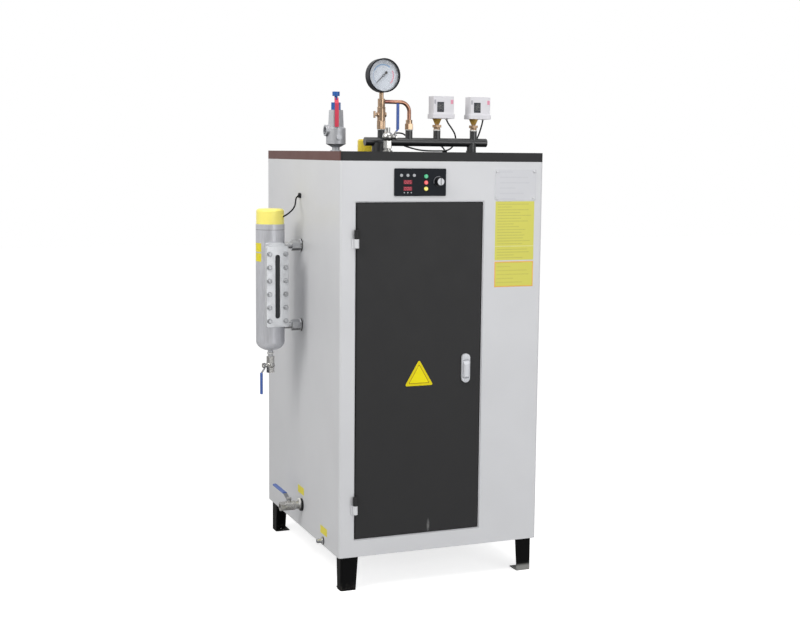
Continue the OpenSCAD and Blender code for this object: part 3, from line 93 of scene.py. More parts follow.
cad_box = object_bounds()
nodes = frame["nodes"]
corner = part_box("front_panel")[0]


def at(x, y, z):
    """A place in millimetres from the cabinet's lower front left corner, as a point in metres."""
    return corner + Vector((x, y, z)) / 1000


def link(name, data):
    """A new object in the scene."""
    made = bpy.data.objects.new(name, data)
    bpy.context.scene.collection.objects.link(made)
    return made


def mesh_of(builder, name, outward=True):
    """The built shape as a mesh, with its faces turned outwards unless they already are."""
    if outward:
        bmesh.ops.recalc_face_normals(builder, faces=builder.faces)
    mesh = bpy.data.meshes.new(name)
    builder.to_mesh(mesh)
    builder.free()
    return mesh


print("loaded", len(nodes), "nodes, with the corner at", tuple(round(v, 4) for v in corner))

# %% [markdown]
# ## The camera
# A photograph fixes one eye point. Its heading, dip and roll were worked out from the cabinet's straight
# edges, whose lengths are known. Writing the camera's axes from those three angles keeps the numbers few,
# and they can be read as what a photographer did: stand to the left, look slightly down.

# %% Place the camera
EYE = Vector((-1.585, -3.983, 1.297))
HEADING, DIP, ROLL = 0.3810, 0.1209, 0.0095
ahead = Vector((math.sin(HEADING) * math.cos(DIP), math.cos(HEADING) * math.cos(DIP), -math.sin(DIP)))
level_right = Vector((math.cos(HEADING), -math.sin(HEADING), 0))
level_up = level_right.cross(ahead)
camera_right = math.cos(ROLL) * level_right + math.sin(ROLL) * level_up
camera_up = math.cos(ROLL) * level_up - math.sin(ROLL) * level_right
axes = Matrix((camera_right, camera_up, -ahead)).transposed().to_4x4()
camera = link("photo_camera", bpy.data.cameras.new("photo_camera"))
camera.matrix_world = Matrix.Translation(EYE) @ axes
camera.data.sensor_fit = "HORIZONTAL"
camera.data.sensor_width = 36
camera.data.lens = 60.04
bpy.context.scene.camera = camera
print("camera looks along", tuple(round(v, 3) for v in ahead))

# %% [markdown]
# ## The cables
# Four thin black cables join the level column, the two pressure switches and the level probe to the
# cabinet. Each leaves a bush, bends under its own weight and goes into a grommet. A curve with a round
# bevel would be quick, but its ends are always square to its path, and here a cable meets a face at a
# slant. So a ring of points is carried along a smooth line through the stops of the solids' route, and
# the last ring lies in the face.

# %% Helpers that draw a cable
CABLE_D = 0.005
STEPS = 8
SIDES = 14


def smooth_line(stops):
    """Points on a smooth curve through the stops."""
    ends = [2 * stops[0] - stops[1], *stops, 2 * stops[-1] - stops[-2]]
    line = []
    for a, b, c, d in zip(ends, ends[1:], ends[2:], ends[3:]):
        for t in (k / STEPS for k in range(STEPS)):
            bend = (2 * a - 5 * b + 4 * c - d) * t**2 + (3 * b - a - 3 * c + d) * t**3
            line.append((2 * b + (c - a) * t + bend) / 2)
    return line + [stops[-1]]


def tube_mesh(name, line, first, last, radius):
    """A closed tube along a line, with its end rings square to the first and the last direction."""
    headings = [Vector(first), *((q - p).normalized() for p, q in zip(line, line[2:])), Vector(last)]
    side = headings[0].orthogonal()
    turns = [math.tau * k / SIDES for k in range(SIDES)]
    builder = bmesh.new()
    rings = []
    for point, heading in zip(line, headings):
        side = (side - heading * side.dot(heading)).normalized()
        other = heading.cross(side)
        rim = [point + radius * (math.cos(a) * side + math.sin(a) * other) for a in turns]
        rings.append([builder.verts.new(place) for place in rim])
    for one, two in zip(rings, rings[1:]):
        for k in range(SIDES):
            builder.faces.new((one[k], one[k - SIDES + 1], two[k - SIDES + 1], two[k])).smooth = True
    builder.faces.new(reversed(rings[0]))
    builder.faces.new(rings[-1])
    return mesh_of(builder, name, outward=False)


def run_cable(name, node, stops, first, last):
    """A cable along the stops, which stands for the node's solid."""
    line = smooth_line(stops)
    length = sum((q - p).length for p, q in zip(line, line[1:]))
    cable = link(name, tube_mesh(name, line, first, last, CABLE_D / 2))
    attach(cable, "cabinet")
    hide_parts(node)
    print(name, "is", round(length * 1000), "mm long, through", len(line), "points")
    return cable


def from_place(place, steps):
    """Steps from a place as points of the scene."""
    return [at(*(p + s for p, s in zip(place, step))) for step in steps]


print("a cable is", CABLE_D * 1000, "mm thick, with", SIDES, "sides")

# %% Run the four cables
DOWN, RIGHT = (0, 0, -1), (1, 0, 0)
CAP_TURN = math.radians(-47)
cap_face = (math.cos(CAP_TURN), math.sin(CAP_TURN), 0)
CAP_EXIT, PROBE = (-68.63, 336.36, 993.5), (245, 430, 1195)
SWITCH_A, SWITCH_B = (440, 330, 1195), (568, 330, 1195)
level_steps = [(0, 0, 0), (9, -7, 6), (19, -8, 13.5), (30, -3, 22), (40, 7, 33), (46, 19, 44.5),
               (52, 31, 55.5), (62.63, 39.64, 63.5)]
switch_a_steps = [(33, 0, 103), (40, 1, 91), (54, 6, 76), (68, 14, 60), (77, 25, 43), (77, 36, 27),
                  (70, 45, 13), (56, 50, 5.5), (36, 50, 4), (-10, 50, 4), (-40, 50, 6.5), (-70, 50, 13),
                  (-96, 50, 21), (-109, 54, 29), (-120.5, 60, 35.5), (-130, 65, 35.5), (-137, 69, 30),
                  (-139.5, 70.5, 20), (-139, 70, 6)]
switch_b_steps = [(33, 0, 103), (31.5, 3, 90), (29, 11, 70), (26, 22, 50), (22, 39, 34), (18, 56, 24.5),
                  (16, 65.5, 16.5), (16, 70, 6)]
probe_steps = [(49, 0, 19.5), (60, 0, 21.5), (69, -2, 29), (75, -4, 40), (81, -6, 51), (90, -8, 58.5),
               (102, -10, 60), (116, -11, 57), (130, -11, 47), (145, -9, 38), (170, -5, 33), (205, 0, 33),
               (231, 0, 30.5), (248, 0, 23.5), (260, 0, 15), (267, 0, 6)]
cables = [
    run_cable("level_cable_run", "level_cable", from_place(CAP_EXIT, level_steps), cap_face, RIGHT),
    run_cable("switch_cable_a_run", "switch_cable_a", from_place(SWITCH_A, switch_a_steps), DOWN, DOWN),
    run_cable("switch_cable_b_run", "switch_cable_b", from_place(SWITCH_B, switch_b_steps), DOWN, DOWN),
    run_cable("probe_cable_run", "probe_cable", from_place(PROBE, probe_steps), RIGHT, DOWN),
]

# %% [markdown]
# ## Node trees written as Python
# Finishes and repeated pieces both come from node trees. Placing nodes one by one is long to read, so one
# small class wraps a socket: its operators add Math nodes, and one method adds any other node with its
# settings and sockets. A mask can then be written as `1 - dust * 0.4`, as on paper.

# %% A socket that Python can calculate with
class Wire:
    """A socket of a node tree. Operators add Math nodes, and node() adds any other node."""

    def __init__(self, tree, socket=None):
        self.tree = tree
        self.socket = socket

    def node(self, kind, sockets=None, out=0, **settings):
        made = self.tree.nodes.new(kind)
        for name, value in settings.items():
            setattr(made, name, value)
        for name, value in (sockets or {}).items():
            if isinstance(value, Wire):
                self.tree.links.new(value.socket, made.inputs[name])
            else:
                made.inputs[name].default_value = value
        return Wire(self.tree, made.outputs[out] if made.outputs else None)

    def math(self, operation, first, second=0.0):
        return self.node("ShaderNodeMath", {0: first, 1: second}, operation=operation)

    def __add__(self, other):
        return self.math("ADD", self, other)

    def __sub__(self, other):
        return self.math("SUBTRACT", self, other)

    def __rsub__(self, other):
        return self.math("SUBTRACT", other, self)

    def __mul__(self, other):
        return self.math("MULTIPLY", self, other)

    def __truediv__(self, other):
        return self.math("DIVIDE", self, other)

    def __gt__(self, other):
        return self.math("GREATER_THAN", self, other)

    def __lt__(self, other):
        return self.math("LESS_THAN", self, other)

    def fade(self, low, high):
        """0 below low, 1 above high, and a smooth step between them."""
        sockets = {"Value": self, "From Min": low, "From Max": high}
        return self.node("ShaderNodeMapRange", sockets, interpolation_type="SMOOTHSTEP", clamp=True)

    def mix(self, first, second):
        """The first colour where this mask is 0, and the second where it is 1."""
        return self.node("ShaderNodeMix", {0: self, 6: first, 7: second}, 2, data_type="RGBA")

    def vector(self, operation, first, second=None, out=0):
        """Vector Math of two vectors, or of one."""
        sockets = {0: first} if second is None else {0: first, 1: second}
        return self.node("ShaderNodeVectorMath", sockets, out, operation=operation)

    def axis(self, name):
        """One part of this vector."""
        return self.node("ShaderNodeSeparateXYZ", {0: self}, "XYZ".index(name))

    def xyz(self, **parts):
        """A vector from its parts."""
        return self.node("ShaderNodeCombineXYZ", parts)

    __radd__ = __add__
    __rmul__ = __mul__


print("wires are ready")

# %% [markdown]
# ## Floor, background and light
# The boiler stands in an even white studio. One way is to flood it with light until the floor burns out,
# but then its own pale paint burns out too. Here the world and the floor are white only where the camera
# or a reflection looks at them, while the light on the object stays at a level at which a colour renders
# as written. Bare metal sees a greyer room in front than behind, which gives it dark edges. The floor
# still darkens under the boiler, because part of its white comes from the lamps.

# %% Floor
FLOOR_HALF = 14
FLOOR_GREY = 0.68
WHITE = (1, 1, 1, 1)
FLOOR_LIFT = 0.7
stage_mesh = bpy.data.meshes.new("studio_floor")
stage_mesh.from_pydata([(x * FLOOR_HALF, y * FLOOR_HALF, 0) for x, y in ((-1, -1), (1, -1), (1, 1), (-1, 1))],
                       [], [(0, 1, 2, 3)])
studio_floor = link("studio_floor", stage_mesh)
studio_floor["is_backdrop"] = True


def rays(paper):
    """A mask of what the camera or glass looks at, and one of what a reflection looks at."""
    path = paper.node("ShaderNodeLightPath").socket.node.outputs
    kinds = ("Camera", "Glossy", "Transmission")
    seen, mirrored, through = (Wire(paper.tree, path[f"Is {kind} Ray"]) for kind in kinds)
    seen = paper.math("MAXIMUM", seen, through)
    return seen, mirrored * (1 - seen)


def blank(name):
    """A new material with an empty tree, and a wire to write in it."""
    material = bpy.data.materials.new(name)
    material.use_nodes = True
    material.node_tree.nodes.clear()
    return material, Wire(material.node_tree)


floor_finish, paper = blank("floor_white")
pale = paper.node("ShaderNodeBsdfDiffuse", {"Color": (FLOOR_GREY, FLOOR_GREY, FLOOR_GREY, 1)})
lift = paper.node("ShaderNodeEmission", {"Color": WHITE, "Strength": rays(paper)[0] * FLOOR_LIFT})
both = paper.node("ShaderNodeAddShader", {0: pale, 1: lift})
paper.node("ShaderNodeOutputMaterial", {"Surface": both})
stage_mesh.materials.append(floor_finish)
print("floor is", 2 * FLOOR_HALF, "m wide")

# %% World
AMBIENT = 0.48
AMBIENT_LEFT = 0.42
STUDIO_SIDE = 0.4
world = bpy.data.worlds.new("studio")
world.use_nodes = True
world.node_tree.nodes.clear()
paper = Wire(world.node_tree)
seen, mirrored = rays(paper)
heading = paper.node("ShaderNodeTexCoord", out="Generated")
from_right = heading.axis("X").fade(-0.9, 0.2)
from_behind = heading.axis("Y").fade(-0.55, 0.35)
plain = from_right * (AMBIENT - AMBIENT_LEFT) + AMBIENT_LEFT
in_metal = from_behind * (1 - STUDIO_SIDE) + STUDIO_SIDE
level = seen + (1 - seen) * (mirrored * in_metal + (1 - mirrored) * plain)
glow = paper.node("ShaderNodeBackground", {"Color": WHITE, "Strength": level})
paper.node("ShaderNodeOutputWorld", {"Surface": glow})
bpy.context.scene.world = world
bpy.context.scene.view_settings.view_transform = "Standard"
print("world has", len(world.node_tree.nodes), "nodes")


# %% Lamps
def soft_lamp(name, place, target, size, watts, colour):
    """A square area lamp that faces a target."""
    lamp = bpy.data.lights.new(name, "AREA")
    lamp.size, lamp.energy, lamp.color = size, watts, colour
    aim = (Vector(target) - Vector(place)).to_track_quat("-Z", "Y")
    link(name, lamp).matrix_world = Matrix.LocRotScale(Vector(place), aim, None)


soft_lamp("key_lamp", (1.8, -4.8, 1.2), (0, -0.3, 0.6), 3.0, 78, (0.995, 0.995, 1.0))
soft_lamp("left_lamp", (-2.3, -0.9, 2.9), (-0.3, 0.0, 1.3), 1.6, 52, (1.0, 0.985, 0.955))
soft_lamp("top_lamp", (0.2, -1.4, 4.0), (0, 0, 1.35), 2.0, 36, (1.0, 1.0, 1.0))

# %% [markdown]
# ## What most finishes share
# Paint, plastic and metal differ in colour and gloss, but all of them vary a little over a surface, and
# their edges are rounded and slightly worn. A Bevel node rounds edges for the light without touching the
# solids, and where its normal leaves the true one there is an edge, which gives a mask for wear. Fine
# noise gives the skin's bump. All patterns use Object coordinates, so that they stay with the piece.

# %% Building blocks of a finish
def rgb(red, green, blue):
    """A colour as a screen shows it, from 0 to 255, in the linear values that shaders use."""
    parts = (((c / 255 + 0.055) / 1.055) ** 2.4 if c > 10 else c / 3294.6 for c in (red, green, blue))
    return (*parts, 1.0)


def shade(colour, factor):
    return tuple(min(1.0, c * factor) for c in colour[:3]) + (1.0,)


def place_on(paper, centre=None, stretch=None):
    """Object coordinates, stretched or centred where a pattern needs it."""
    place = paper.node("ShaderNodeTexCoord", out="Object")
    if centre is not None:
        place = paper.vector("SUBTRACT", place, tuple(centre))
    if stretch is not None:
        place = paper.node("ShaderNodeMapping", {"Vector": place, "Scale": stretch})
    return place


def past(paper, centre, axis):
    """The distance past a place, along an axis."""
    return place_on(paper, centre).axis(axis)


def facing(paper, axis):
    """How far the surface faces along an axis."""
    return paper.node("ShaderNodeNewGeometry", out="Normal").axis(axis)


def cloud(paper, size, detail=2.0, stretch=None):
    """Noise from 0 to 1 whose patches are about `size` metres wide."""
    sockets = {"Vector": place_on(paper, stretch=stretch), "Scale": 1 / size, "Detail": detail}
    return paper.node("ShaderNodeTexNoise", sockets, 0)


def rounded_edges(paper, radius):
    """The normal with its edges rounded, and a mask of those edges."""
    soft = paper.node("ShaderNodeBevel", {"Radius": radius}, samples=4)
    true = paper.node("ShaderNodeNewGeometry", out="Normal")
    dot = paper.vector("DOT_PRODUCT", soft, true, "Value")
    return soft, ((1 - dot) * 4).fade(0.1, 0.9)


def bumped(paper, height, depth, normal):
    return paper.node("ShaderNodeBump", {"Height": height, "Distance": depth, "Normal": normal})


def finished(material, paper, sockets):
    """Ends a finish with its shader."""
    shader = paper.node("ShaderNodeBsdfPrincipled", sockets)
    paper.node("ShaderNodeOutputMaterial", {"Surface": shader})
    return material


print("screen grey 128 is", round(rgb(128, 128, 128)[0], 3), "in linear light")


# %% Recipes for paint, plastic and metal
def sheet_paint(name, colour, gloss=0.45, grain=0.0012, depth=0.00003, worn=1.25, radius=0.0012, shine=0.5,
                extra=None):
    """Baked paint on sheet steel: fine orange peel, faint clouds, edges a little lighter."""
    material, paper = blank(name)
    normal, edge = rounded_edges(paper, radius)
    tone = cloud(paper, 0.18, 3.0).fade(0.3, 0.7)
    base = tone.mix(shade(colour, 0.985), shade(colour, 1.015))
    chips = edge * cloud(paper, 0.012, 4.0).fade(0.35, 0.75)
    base = chips.mix(base, shade(colour, worn))
    peel = cloud(paper, grain, 1.0)
    rough = cloud(paper, 0.05, 3.0) * 0.12 + (gloss - 0.06)
    if extra is not None:
        base, rough = extra(paper, base, rough)
    return finished(material, paper, {"Base Color": base, "Roughness": rough, "Specular IOR Level": shine,
                                      "Normal": bumped(paper, peel, depth, normal)})


def moulded(name, colour, gloss=0.4, grain=0.0008, depth=0.00002, radius=0.001, shine=0.5, extra=None):
    """Moulded plastic or rubber: an even colour, a fine skin, edges rubbed paler."""
    material, paper = blank(name)
    normal, edge = rounded_edges(paper, radius)
    base = cloud(paper, 0.03, 2.0).mix(shade(colour, 0.95), shade(colour, 1.05))
    base = (edge * 0.35).mix(base, shade(colour, 1.3))
    rough = cloud(paper, 0.012, 3.0) * 0.14 + (gloss - 0.07)
    if extra is not None:
        base, rough = extra(paper, base, rough)
    return finished(material, paper, {"Base Color": base, "Roughness": rough, "Specular IOR Level": shine,
                                      "Normal": bumped(paper, cloud(paper, grain, 1.0), depth, normal)})


def metal(name, colour, gloss=0.35, stretch=None, grain=0.002, depth=0.00002, stain=0.12, radius=0.0008,
          metallic=1.0, extra=None):
    """Bare or plated metal: grain along the way it was worked, faint stains, bright edges."""
    material, paper = blank(name)
    normal, edge = rounded_edges(paper, radius)
    lines = cloud(paper, grain, 3.0, stretch)
    stains = cloud(paper, 0.025, 4.0).fade(0.45, 0.75)
    base = lines.fade(0.3, 0.7).mix(shade(colour, 0.93), shade(colour, 1.05))
    base = (stains * stain).mix(base, shade(colour, 0.45))
    base = (edge * 0.5).mix(base, shade(colour, 1.3))
    rough = lines * 0.14 + stains * 0.12 + (gloss - 0.08)
    if extra is not None:
        base, rough, metallic = extra(paper, base, rough, metallic)
    return finished(material, paper, {"Base Color": base, "Roughness": rough, "Metallic": metallic,
                                      "Normal": bumped(paper, lines, depth, normal)})


print("finish families are ready")

# %% [markdown]
# ## Painted steel
# The cabinet is baked light grey, and its door and lid charcoal. The lid's left skirt carries a painted brown
# reflection, and the door carries a pale scuff low down. The legs are black, with one foot paler at its
# lowest part.
# Such marks are masks in the finish: a place and a soft edge, broken up by noise.

# %% Cabinet, lid, door and legs
LIGHT_GREY = rgb(207, 208, 211)
CHARCOAL = rgb(43, 43, 44)
BLACK = rgb(11, 11, 12)
# painted reflection: the brown that the lid's left skirt shows
SKIRT_REFLECTION_BROWN = rgb(98, 66, 62)
SCUFF_GREY = rgb(150, 150, 150)
FOOT_DUST, PALE_FOOT = rgb(120, 116, 110), rgb(140, 140, 138)
CHARCOAL_COAT = {"colour": CHARCOAL, "gloss": 0.5, "grain": 0.0009, "depth": 0.00005, "worn": 1.6,
                 "shine": 0.2}


def painted_skirt_reflection(paper, base, rough):
    """Painted reflection: the lid's left skirt, which faces left, turns brown."""
    return (facing(paper, "X") * -1).fade(0.6, 0.9).mix(base, SKIRT_REFLECTION_BROWN), rough


def spot(paper, centre, reach):
    """1 at a place and 0 beyond its reach, with a soft edge."""
    place = place_on(paper, centre)
    away = paper.vector("DIVIDE", place, reach)
    return 1 - paper.vector("LENGTH", away, None, "Value").fade(0.4, 1.0)


def door_scuff(paper, base, rough):
    """A short pale rub upwards from the door's lower edge."""
    pale_mark = spot(paper, at(285, 0, 76), (0.0055, 0.05, 0.024)) * cloud(paper, 0.012, 2.0).fade(0.2, 0.5)
    return (pale_mark * 0.42).mix(base, SCUFF_GREY), rough + pale_mark * 0.15


def pale_foot_and_dust(paper, base, rough):
    """The lowest part of the front right leg paler grey, and dust on all the feet."""
    place = place_on(paper)
    height = place.axis("Z")
    front_right = (place.axis("X") > 0.2) * (place.axis("Y") < 0.0)
    pale_mark = (1 - height.fade(0.012, 0.024)) * front_right * cloud(paper, 0.006, 4.0).fade(0.2, 0.45)
    dust = (1 - height.fade(0.0, 0.03)) * cloud(paper, 0.01, 4.0).fade(0.4, 0.8)
    base = (dust * 0.25).mix(base, FOOT_DUST)
    return pale_mark.mix(base, PALE_FOOT), rough + dust * 0.2


finishes = {
    "light_grey_paint": sheet_paint("cabinet_grey", LIGHT_GREY, gloss=0.42, worn=1.12),
    "charcoal_paint": sheet_paint("charcoal", **CHARCOAL_COAT),
    # the lid's left skirt carries a painted brown reflection
    "top_lid": sheet_paint("lid_charcoal", **CHARCOAL_COAT, extra=painted_skirt_reflection),
    "door": sheet_paint("door_charcoal", **CHARCOAL_COAT, extra=door_scuff),
    "black_paint": sheet_paint("leg_black", BLACK, gloss=0.5, worn=2.5, shine=0.06, extra=pale_foot_and_dust),
    "hinge_white": sheet_paint("hinge_white", rgb(214, 215, 218), gloss=0.35, worn=1.1),
    "black_pipe": sheet_paint("pipe_black", rgb(26, 27, 29), gloss=0.36, grain=0.002, depth=0.00006, worn=2.0,
                              shine=0.95),
}
print("painted:", ", ".join(finishes))

# %% [markdown]
# ## Plastics, rubber and glass
# Yellow caps, white switch housings, black rubber and the dark panel are moulded, so they share one
# recipe with a fine skin. The lamps are tinted lenses that glow a little. The gauge's window is thin
# clear glass: letting most light straight through is cheaper and cleaner than real refraction on a flat
# pane.

# %% Moulded pieces
KNOB = (304, 0, 1109)


def knob_ring_highlight(paper, base, rough):
    """A pale ring round the knob, coloured on the plate only at its upper left: a painted highlight of the
    ring's lit part, whose shaded lower part is left out.
    """
    place = place_on(paper, at(*KNOB))
    across = place.axis("X")
    up = place.axis("Z")
    radius = paper.math("SQRT", across * across + up * up)
    ring = radius.fade(0.0138, 0.0143) * (1 - radius.fade(0.0155, 0.0160))
    # painted highlight: only the upper left, lit part of the ring is coloured
    return (ring * (up - across > 0.008) * 0.6).mix(base, rgb(176, 178, 184)), rough


finishes |= {
    "yellow_plastic": moulded("cap_yellow", rgb(252, 238, 122), gloss=0.36),
    "probe_cap": moulded("probe_yellow", rgb(255, 224, 62), gloss=0.36),
    "switch_white": moulded("switch_white", rgb(222, 221, 226), gloss=0.4),
    "latch_housing": moulded("latch_white", rgb(206, 208, 213), gloss=0.32),
    "rubber_black": moulded("rubber_black", rgb(26, 27, 29), gloss=0.6, depth=0.00004, shine=0.2),
    "cable_black": moulded("cable_black", rgb(30, 31, 34), gloss=0.5, radius=0.0004, shine=0.25),
    # the panel carries the knob ring's painted highlight
    "panel_black": moulded("panel_black", rgb(21, 25, 32), gloss=0.4, grain=0.0005, depth=0.00001, shine=0.1,
                           extra=knob_ring_highlight),
    "safety_blue": moulded("cap_blue", rgb(26, 88, 163), gloss=0.38),
    "safety_red": moulded("lever_red", rgb(206, 60, 84), gloss=0.36),
    "gauge_black": moulded("gauge_black", rgb(14, 17, 25), gloss=0.36, shine=0.12),
    "needle_black": moulded("needle_black", rgb(24, 24, 26), gloss=0.4, shine=0.2),
}
finishes["latch_handle"] = finishes["latch_housing"]
print("with plastics there are", len(finishes), "finishes")


# %% Lenses and windows
def lens(name, colour, glow, gloss=0.22, shine=0.5):
    """A tinted lens with a small lamp behind it."""
    material, paper = blank(name)
    normal = rounded_edges(paper, 0.0008)[0]
    base = cloud(paper, 0.004, 2.0).mix(shade(colour, 0.9), shade(colour, 1.08))
    rough = cloud(paper, 0.002, 2.0) * 0.1 + (gloss - 0.05)
    return finished(material, paper, {"Base Color": base, "Roughness": rough, "Emission Color": base,
                                      "Specular IOR Level": shine, "Emission Strength": glow,
                                      "Normal": bumped(paper, cloud(paper, 0.0012, 1.0), 0.00002, normal)})


finishes |= {
    "lamp_green": lens("lamp_green", rgb(70, 180, 130), 0.15),
    "lamp_red": lens("lamp_red", rgb(236, 100, 100), 0.15),
    "lamp_yellow": lens("lamp_yellow", rgb(240, 226, 110), 0.15),
    "light_white": lens("light_white", rgb(160, 163, 168), 0.0),
    "display_red": lens("display_red", rgb(112, 26, 44), 0.15, 0.2, 0.2),
    "glass_dark": lens("sight_glass", rgb(36, 39, 42), 0.0, 0.2, 0.15),
}

WINDOW_Z, RULE_PITCH = 1337, 0.0042
finishes["window_dark"], paper = blank("window_scale")
height = past(paper, at(0, 0, WINDOW_Z), "Z")
ruler = paper.math("FRACT", height / RULE_PITCH) < 0.3
ruler = ruler * cloud(paper, 0.006, 3.0).fade(0.45, 0.55)
ruler = ruler * (1 - paper.math("ABSOLUTE", height).fade(0.009, 0.013))
finished(finishes["window_dark"], paper, {
    "Base Color": (ruler * 0.6).mix(rgb(50, 53, 60), rgb(168, 168, 160)),
    "Roughness": cloud(paper, 0.004, 2.0) * 0.1 + 0.25, "Specular IOR Level": 0.2})

finishes["glass_clear"], paper = blank("gauge_glass")
smear = cloud(paper, 0.02, 3.0) * 0.06 + 0.02
finished(finishes["glass_clear"], paper, {"Base Color": WHITE, "Roughness": smear, "Alpha": 0.04})
print("with lenses there are", len(finishes), "finishes")

# %% [markdown]
# ## Metals
# The column and its sight frame are dull stainless steel with a grain that runs upright, the valves are
# plated, the safety valve is cast, and the gauge's cock and the switches' bellows are brass. A metal
# finish is the same recipe each time: a grain stretched along the way it was worked, faint stains and
# brighter edges.

# %% Marks on metal
UPRIGHT = (1, 1, 0.06)
COLUMN_X, COLUMN_Y = -100, 370
STICKERS = ((855, 881), (885, 912))
STICKER_HALF_TURN = math.radians(36)
STICKER_YELLOW = rgb(226, 212, 46)
SEAM = 953


def column_marks(paper, base, rough, metallic):
    """Two yellow stickers round the column's left side, and a dark line at the top seam."""
    place = place_on(paper, at(COLUMN_X, COLUMN_Y, 0))
    height = place.axis("Z") * 1000
    turn = paper.math("ARCTAN2", place.axis("Y"), place.axis("X") * -1)
    rows = sum((height > low) * (height < high) for low, high in STICKERS)
    sticker = (paper.math("ABSOLUTE", turn) < STICKER_HALF_TURN) * rows
    seam = 1 - paper.math("ABSOLUTE", height - SEAM).fade(0.4, 1.6)
    base = (seam * 0.5).mix(base, rgb(96, 98, 101))
    return sticker.mix(base, STICKER_YELLOW), rough, (1 - sticker) * metallic


def painted_underside_shade(paper, base, rough, metallic):
    """Painted shade: the plating is darker on its undersides, where less light falls."""
    down = facing(paper, "Z") * -1
    return (down.fade(-0.35, 0.85) * 0.75).mix(base, rgb(84, 82, 80)), rough, metallic


def underside_shade_and_dark_washer(paper, base, rough, metallic):
    """A fitting with painted shade on its undersides, whose last millimetres by the wall are a dark washer.
    """
    base, rough, metallic = painted_underside_shade(paper, base, rough, metallic)
    washer = past(paper, at(-3, 0, 0), "X") > 0
    return washer.mix(base, rgb(44, 44, 46)), rough + washer * 0.3, (1 - washer) * metallic


def tan_nut(paper, base, rough, metallic):
    """The nut under the bellows is a duller brass."""
    nut = past(paper, at(0, 0, 1284), "Z") < 0
    return nut.mix(base, rgb(176, 146, 116)), rough, metallic


def heat_tint(paper, base, rough, metallic):
    """Purple brown near the brazed end of the tube."""
    near = 1 - past(paper, at(262, 0, 0), "X").fade(0.008, 0.04)
    return (near * 0.6).mix(base, rgb(134, 78, 84)), rough, metallic


print("stickers on the column from and to", STICKERS, "mm")

# %% Steel, plating, brass and copper
finishes |= {
    "level_column": metal("marked_column", rgb(208, 209, 214), gloss=0.42, stretch=UPRIGHT, stain=0.05,
                          metallic=0.75, extra=column_marks),
    "column_steel": metal("frame_steel", rgb(212, 214, 217), gloss=0.4, stain=0.08, metallic=0.6),
    # painted shade darkens the undersides of the plated unions and valves
    "pipe_steel": metal("union_steel", rgb(214, 215, 217), gloss=0.24, stain=0.15, extra=underside_shade_and_dark_washer),
    "valve_nickel": metal("valve_nickel", rgb(198, 197, 194), gloss=0.27, grain=0.004, depth=0.00001,
                          stain=0.1, extra=painted_underside_shade),
    "safety_silver": metal("safety_cast", rgb(186, 188, 192), gloss=0.46, grain=0.0016, depth=0.00008,
                           stain=0.1, metallic=0.6),
    "brass": metal("brass", rgb(184, 157, 131), gloss=0.3, stain=0.55),
    "switch_bellows": metal("bellows_brass", rgb(212, 172, 88), gloss=0.36, stain=0.2, metallic=0.35,
                            extra=tan_nut),
    "copper": metal("copper", rgb(180, 134, 112), gloss=0.3, stain=0.5, extra=heat_tint),
    "jacket_silver": metal("jacket_silver", rgb(186, 189, 192), gloss=0.4, stretch=UPRIGHT, grain=0.003),
    "heater_steel": metal("heater_steel", rgb(166, 168, 170), gloss=0.4),
}
bolt_zinc = metal("bolt_zinc", rgb(176, 178, 181), gloss=0.36, stain=0.25, metallic=0.85)
print("with metals there are", len(finishes), "finishes")

# %% [markdown]
# ## Pieces of two materials
# A valve lever is a steel strip dipped in blue vinyl, and the selector knob is silver with a black rim.
# The solids are one piece each, so the finish itself changes at a plane: the distance along the lever or
# the way the surface faces decides which colour it has.

# %% Levers and knob
LEVER_BLUE = rgb(64, 96, 170)
CRANK_STEEL = rgb(150, 152, 156)


def dipped_lever(name, stem, along, sleeve_from):
    """Blue vinyl from a distance along the lever on, bare steel before it."""
    material, paper = blank(name)
    normal, edge = rounded_edges(paper, 0.001)
    place = place_on(paper, stem)
    far = paper.vector("DOT_PRODUCT", place, along, "Value")
    sleeve = far.fade(sleeve_from - 0.001, sleeve_from + 0.001)
    blue = cloud(paper, 0.01, 3.0).mix(shade(LEVER_BLUE, 0.9), shade(LEVER_BLUE, 1.1))
    blue = (edge * 0.4).mix(blue, shade(LEVER_BLUE, 1.5))
    steel = cloud(paper, 0.004, 3.0).mix(shade(CRANK_STEEL, 0.8), shade(CRANK_STEEL, 1.1))
    rough = cloud(paper, 0.006, 3.0) * 0.15 + 0.32
    skin = bumped(paper, cloud(paper, 0.0015, 1.0), 0.00003, normal)
    return finished(material, paper, {"Base Color": sleeve.mix(steel, blue), "Roughness": rough,
                                      "Metallic": 1 - sleeve, "Normal": skin})


finishes |= {
    "lever_blue": dipped_lever("steam_lever_blue", at(282, 270, 1240), (0, 0, 1), 0.018),
    "blowdown_lever": dipped_lever("blowdown_lever_blue", at(-43, 360, 104), (0, 1, 0), 0.040),
    "level_drain_lever": dipped_lever("drain_lever_blue", at(-126, 370, 528), (0, 0, -1), 0.022),
}

finishes["knob_silver"], paper = blank("knob_two_tone")
normal = rounded_edges(paper, 0.0006)[0]
forward = facing(paper, "Y") * -1
depth = past(paper, at(*KNOB), "Y")
silver = forward.fade(0.55, 0.7) * (depth < -0.0075)
turned = cloud(paper, 0.0009, 2.0)
silver_tone = turned.mix(rgb(150, 152, 156), rgb(204, 205, 208))
finished(finishes["knob_silver"], paper, {
    "Base Color": silver.mix(rgb(18, 19, 22), silver_tone), "Metallic": silver * 0.3,
    "Specular IOR Level": 0.2, "Roughness": turned * 0.1 + 0.28,
    "Normal": bumped(paper, turned, 0.00002, normal)})
print("with levers and knob there are", len(finishes), "finishes")

# %% [markdown]
# ## The dial's print
# A pressure gauge's dial is printed: a blue arc over the working range, a pale one before it and a red
# one past it. Arcs could be thin meshes, but a print has no thickness, so the finish works out each
# point's radius and angle round the dial's middle, and bands of both make the arcs. Ticks and numbers are
# pieces of their own.

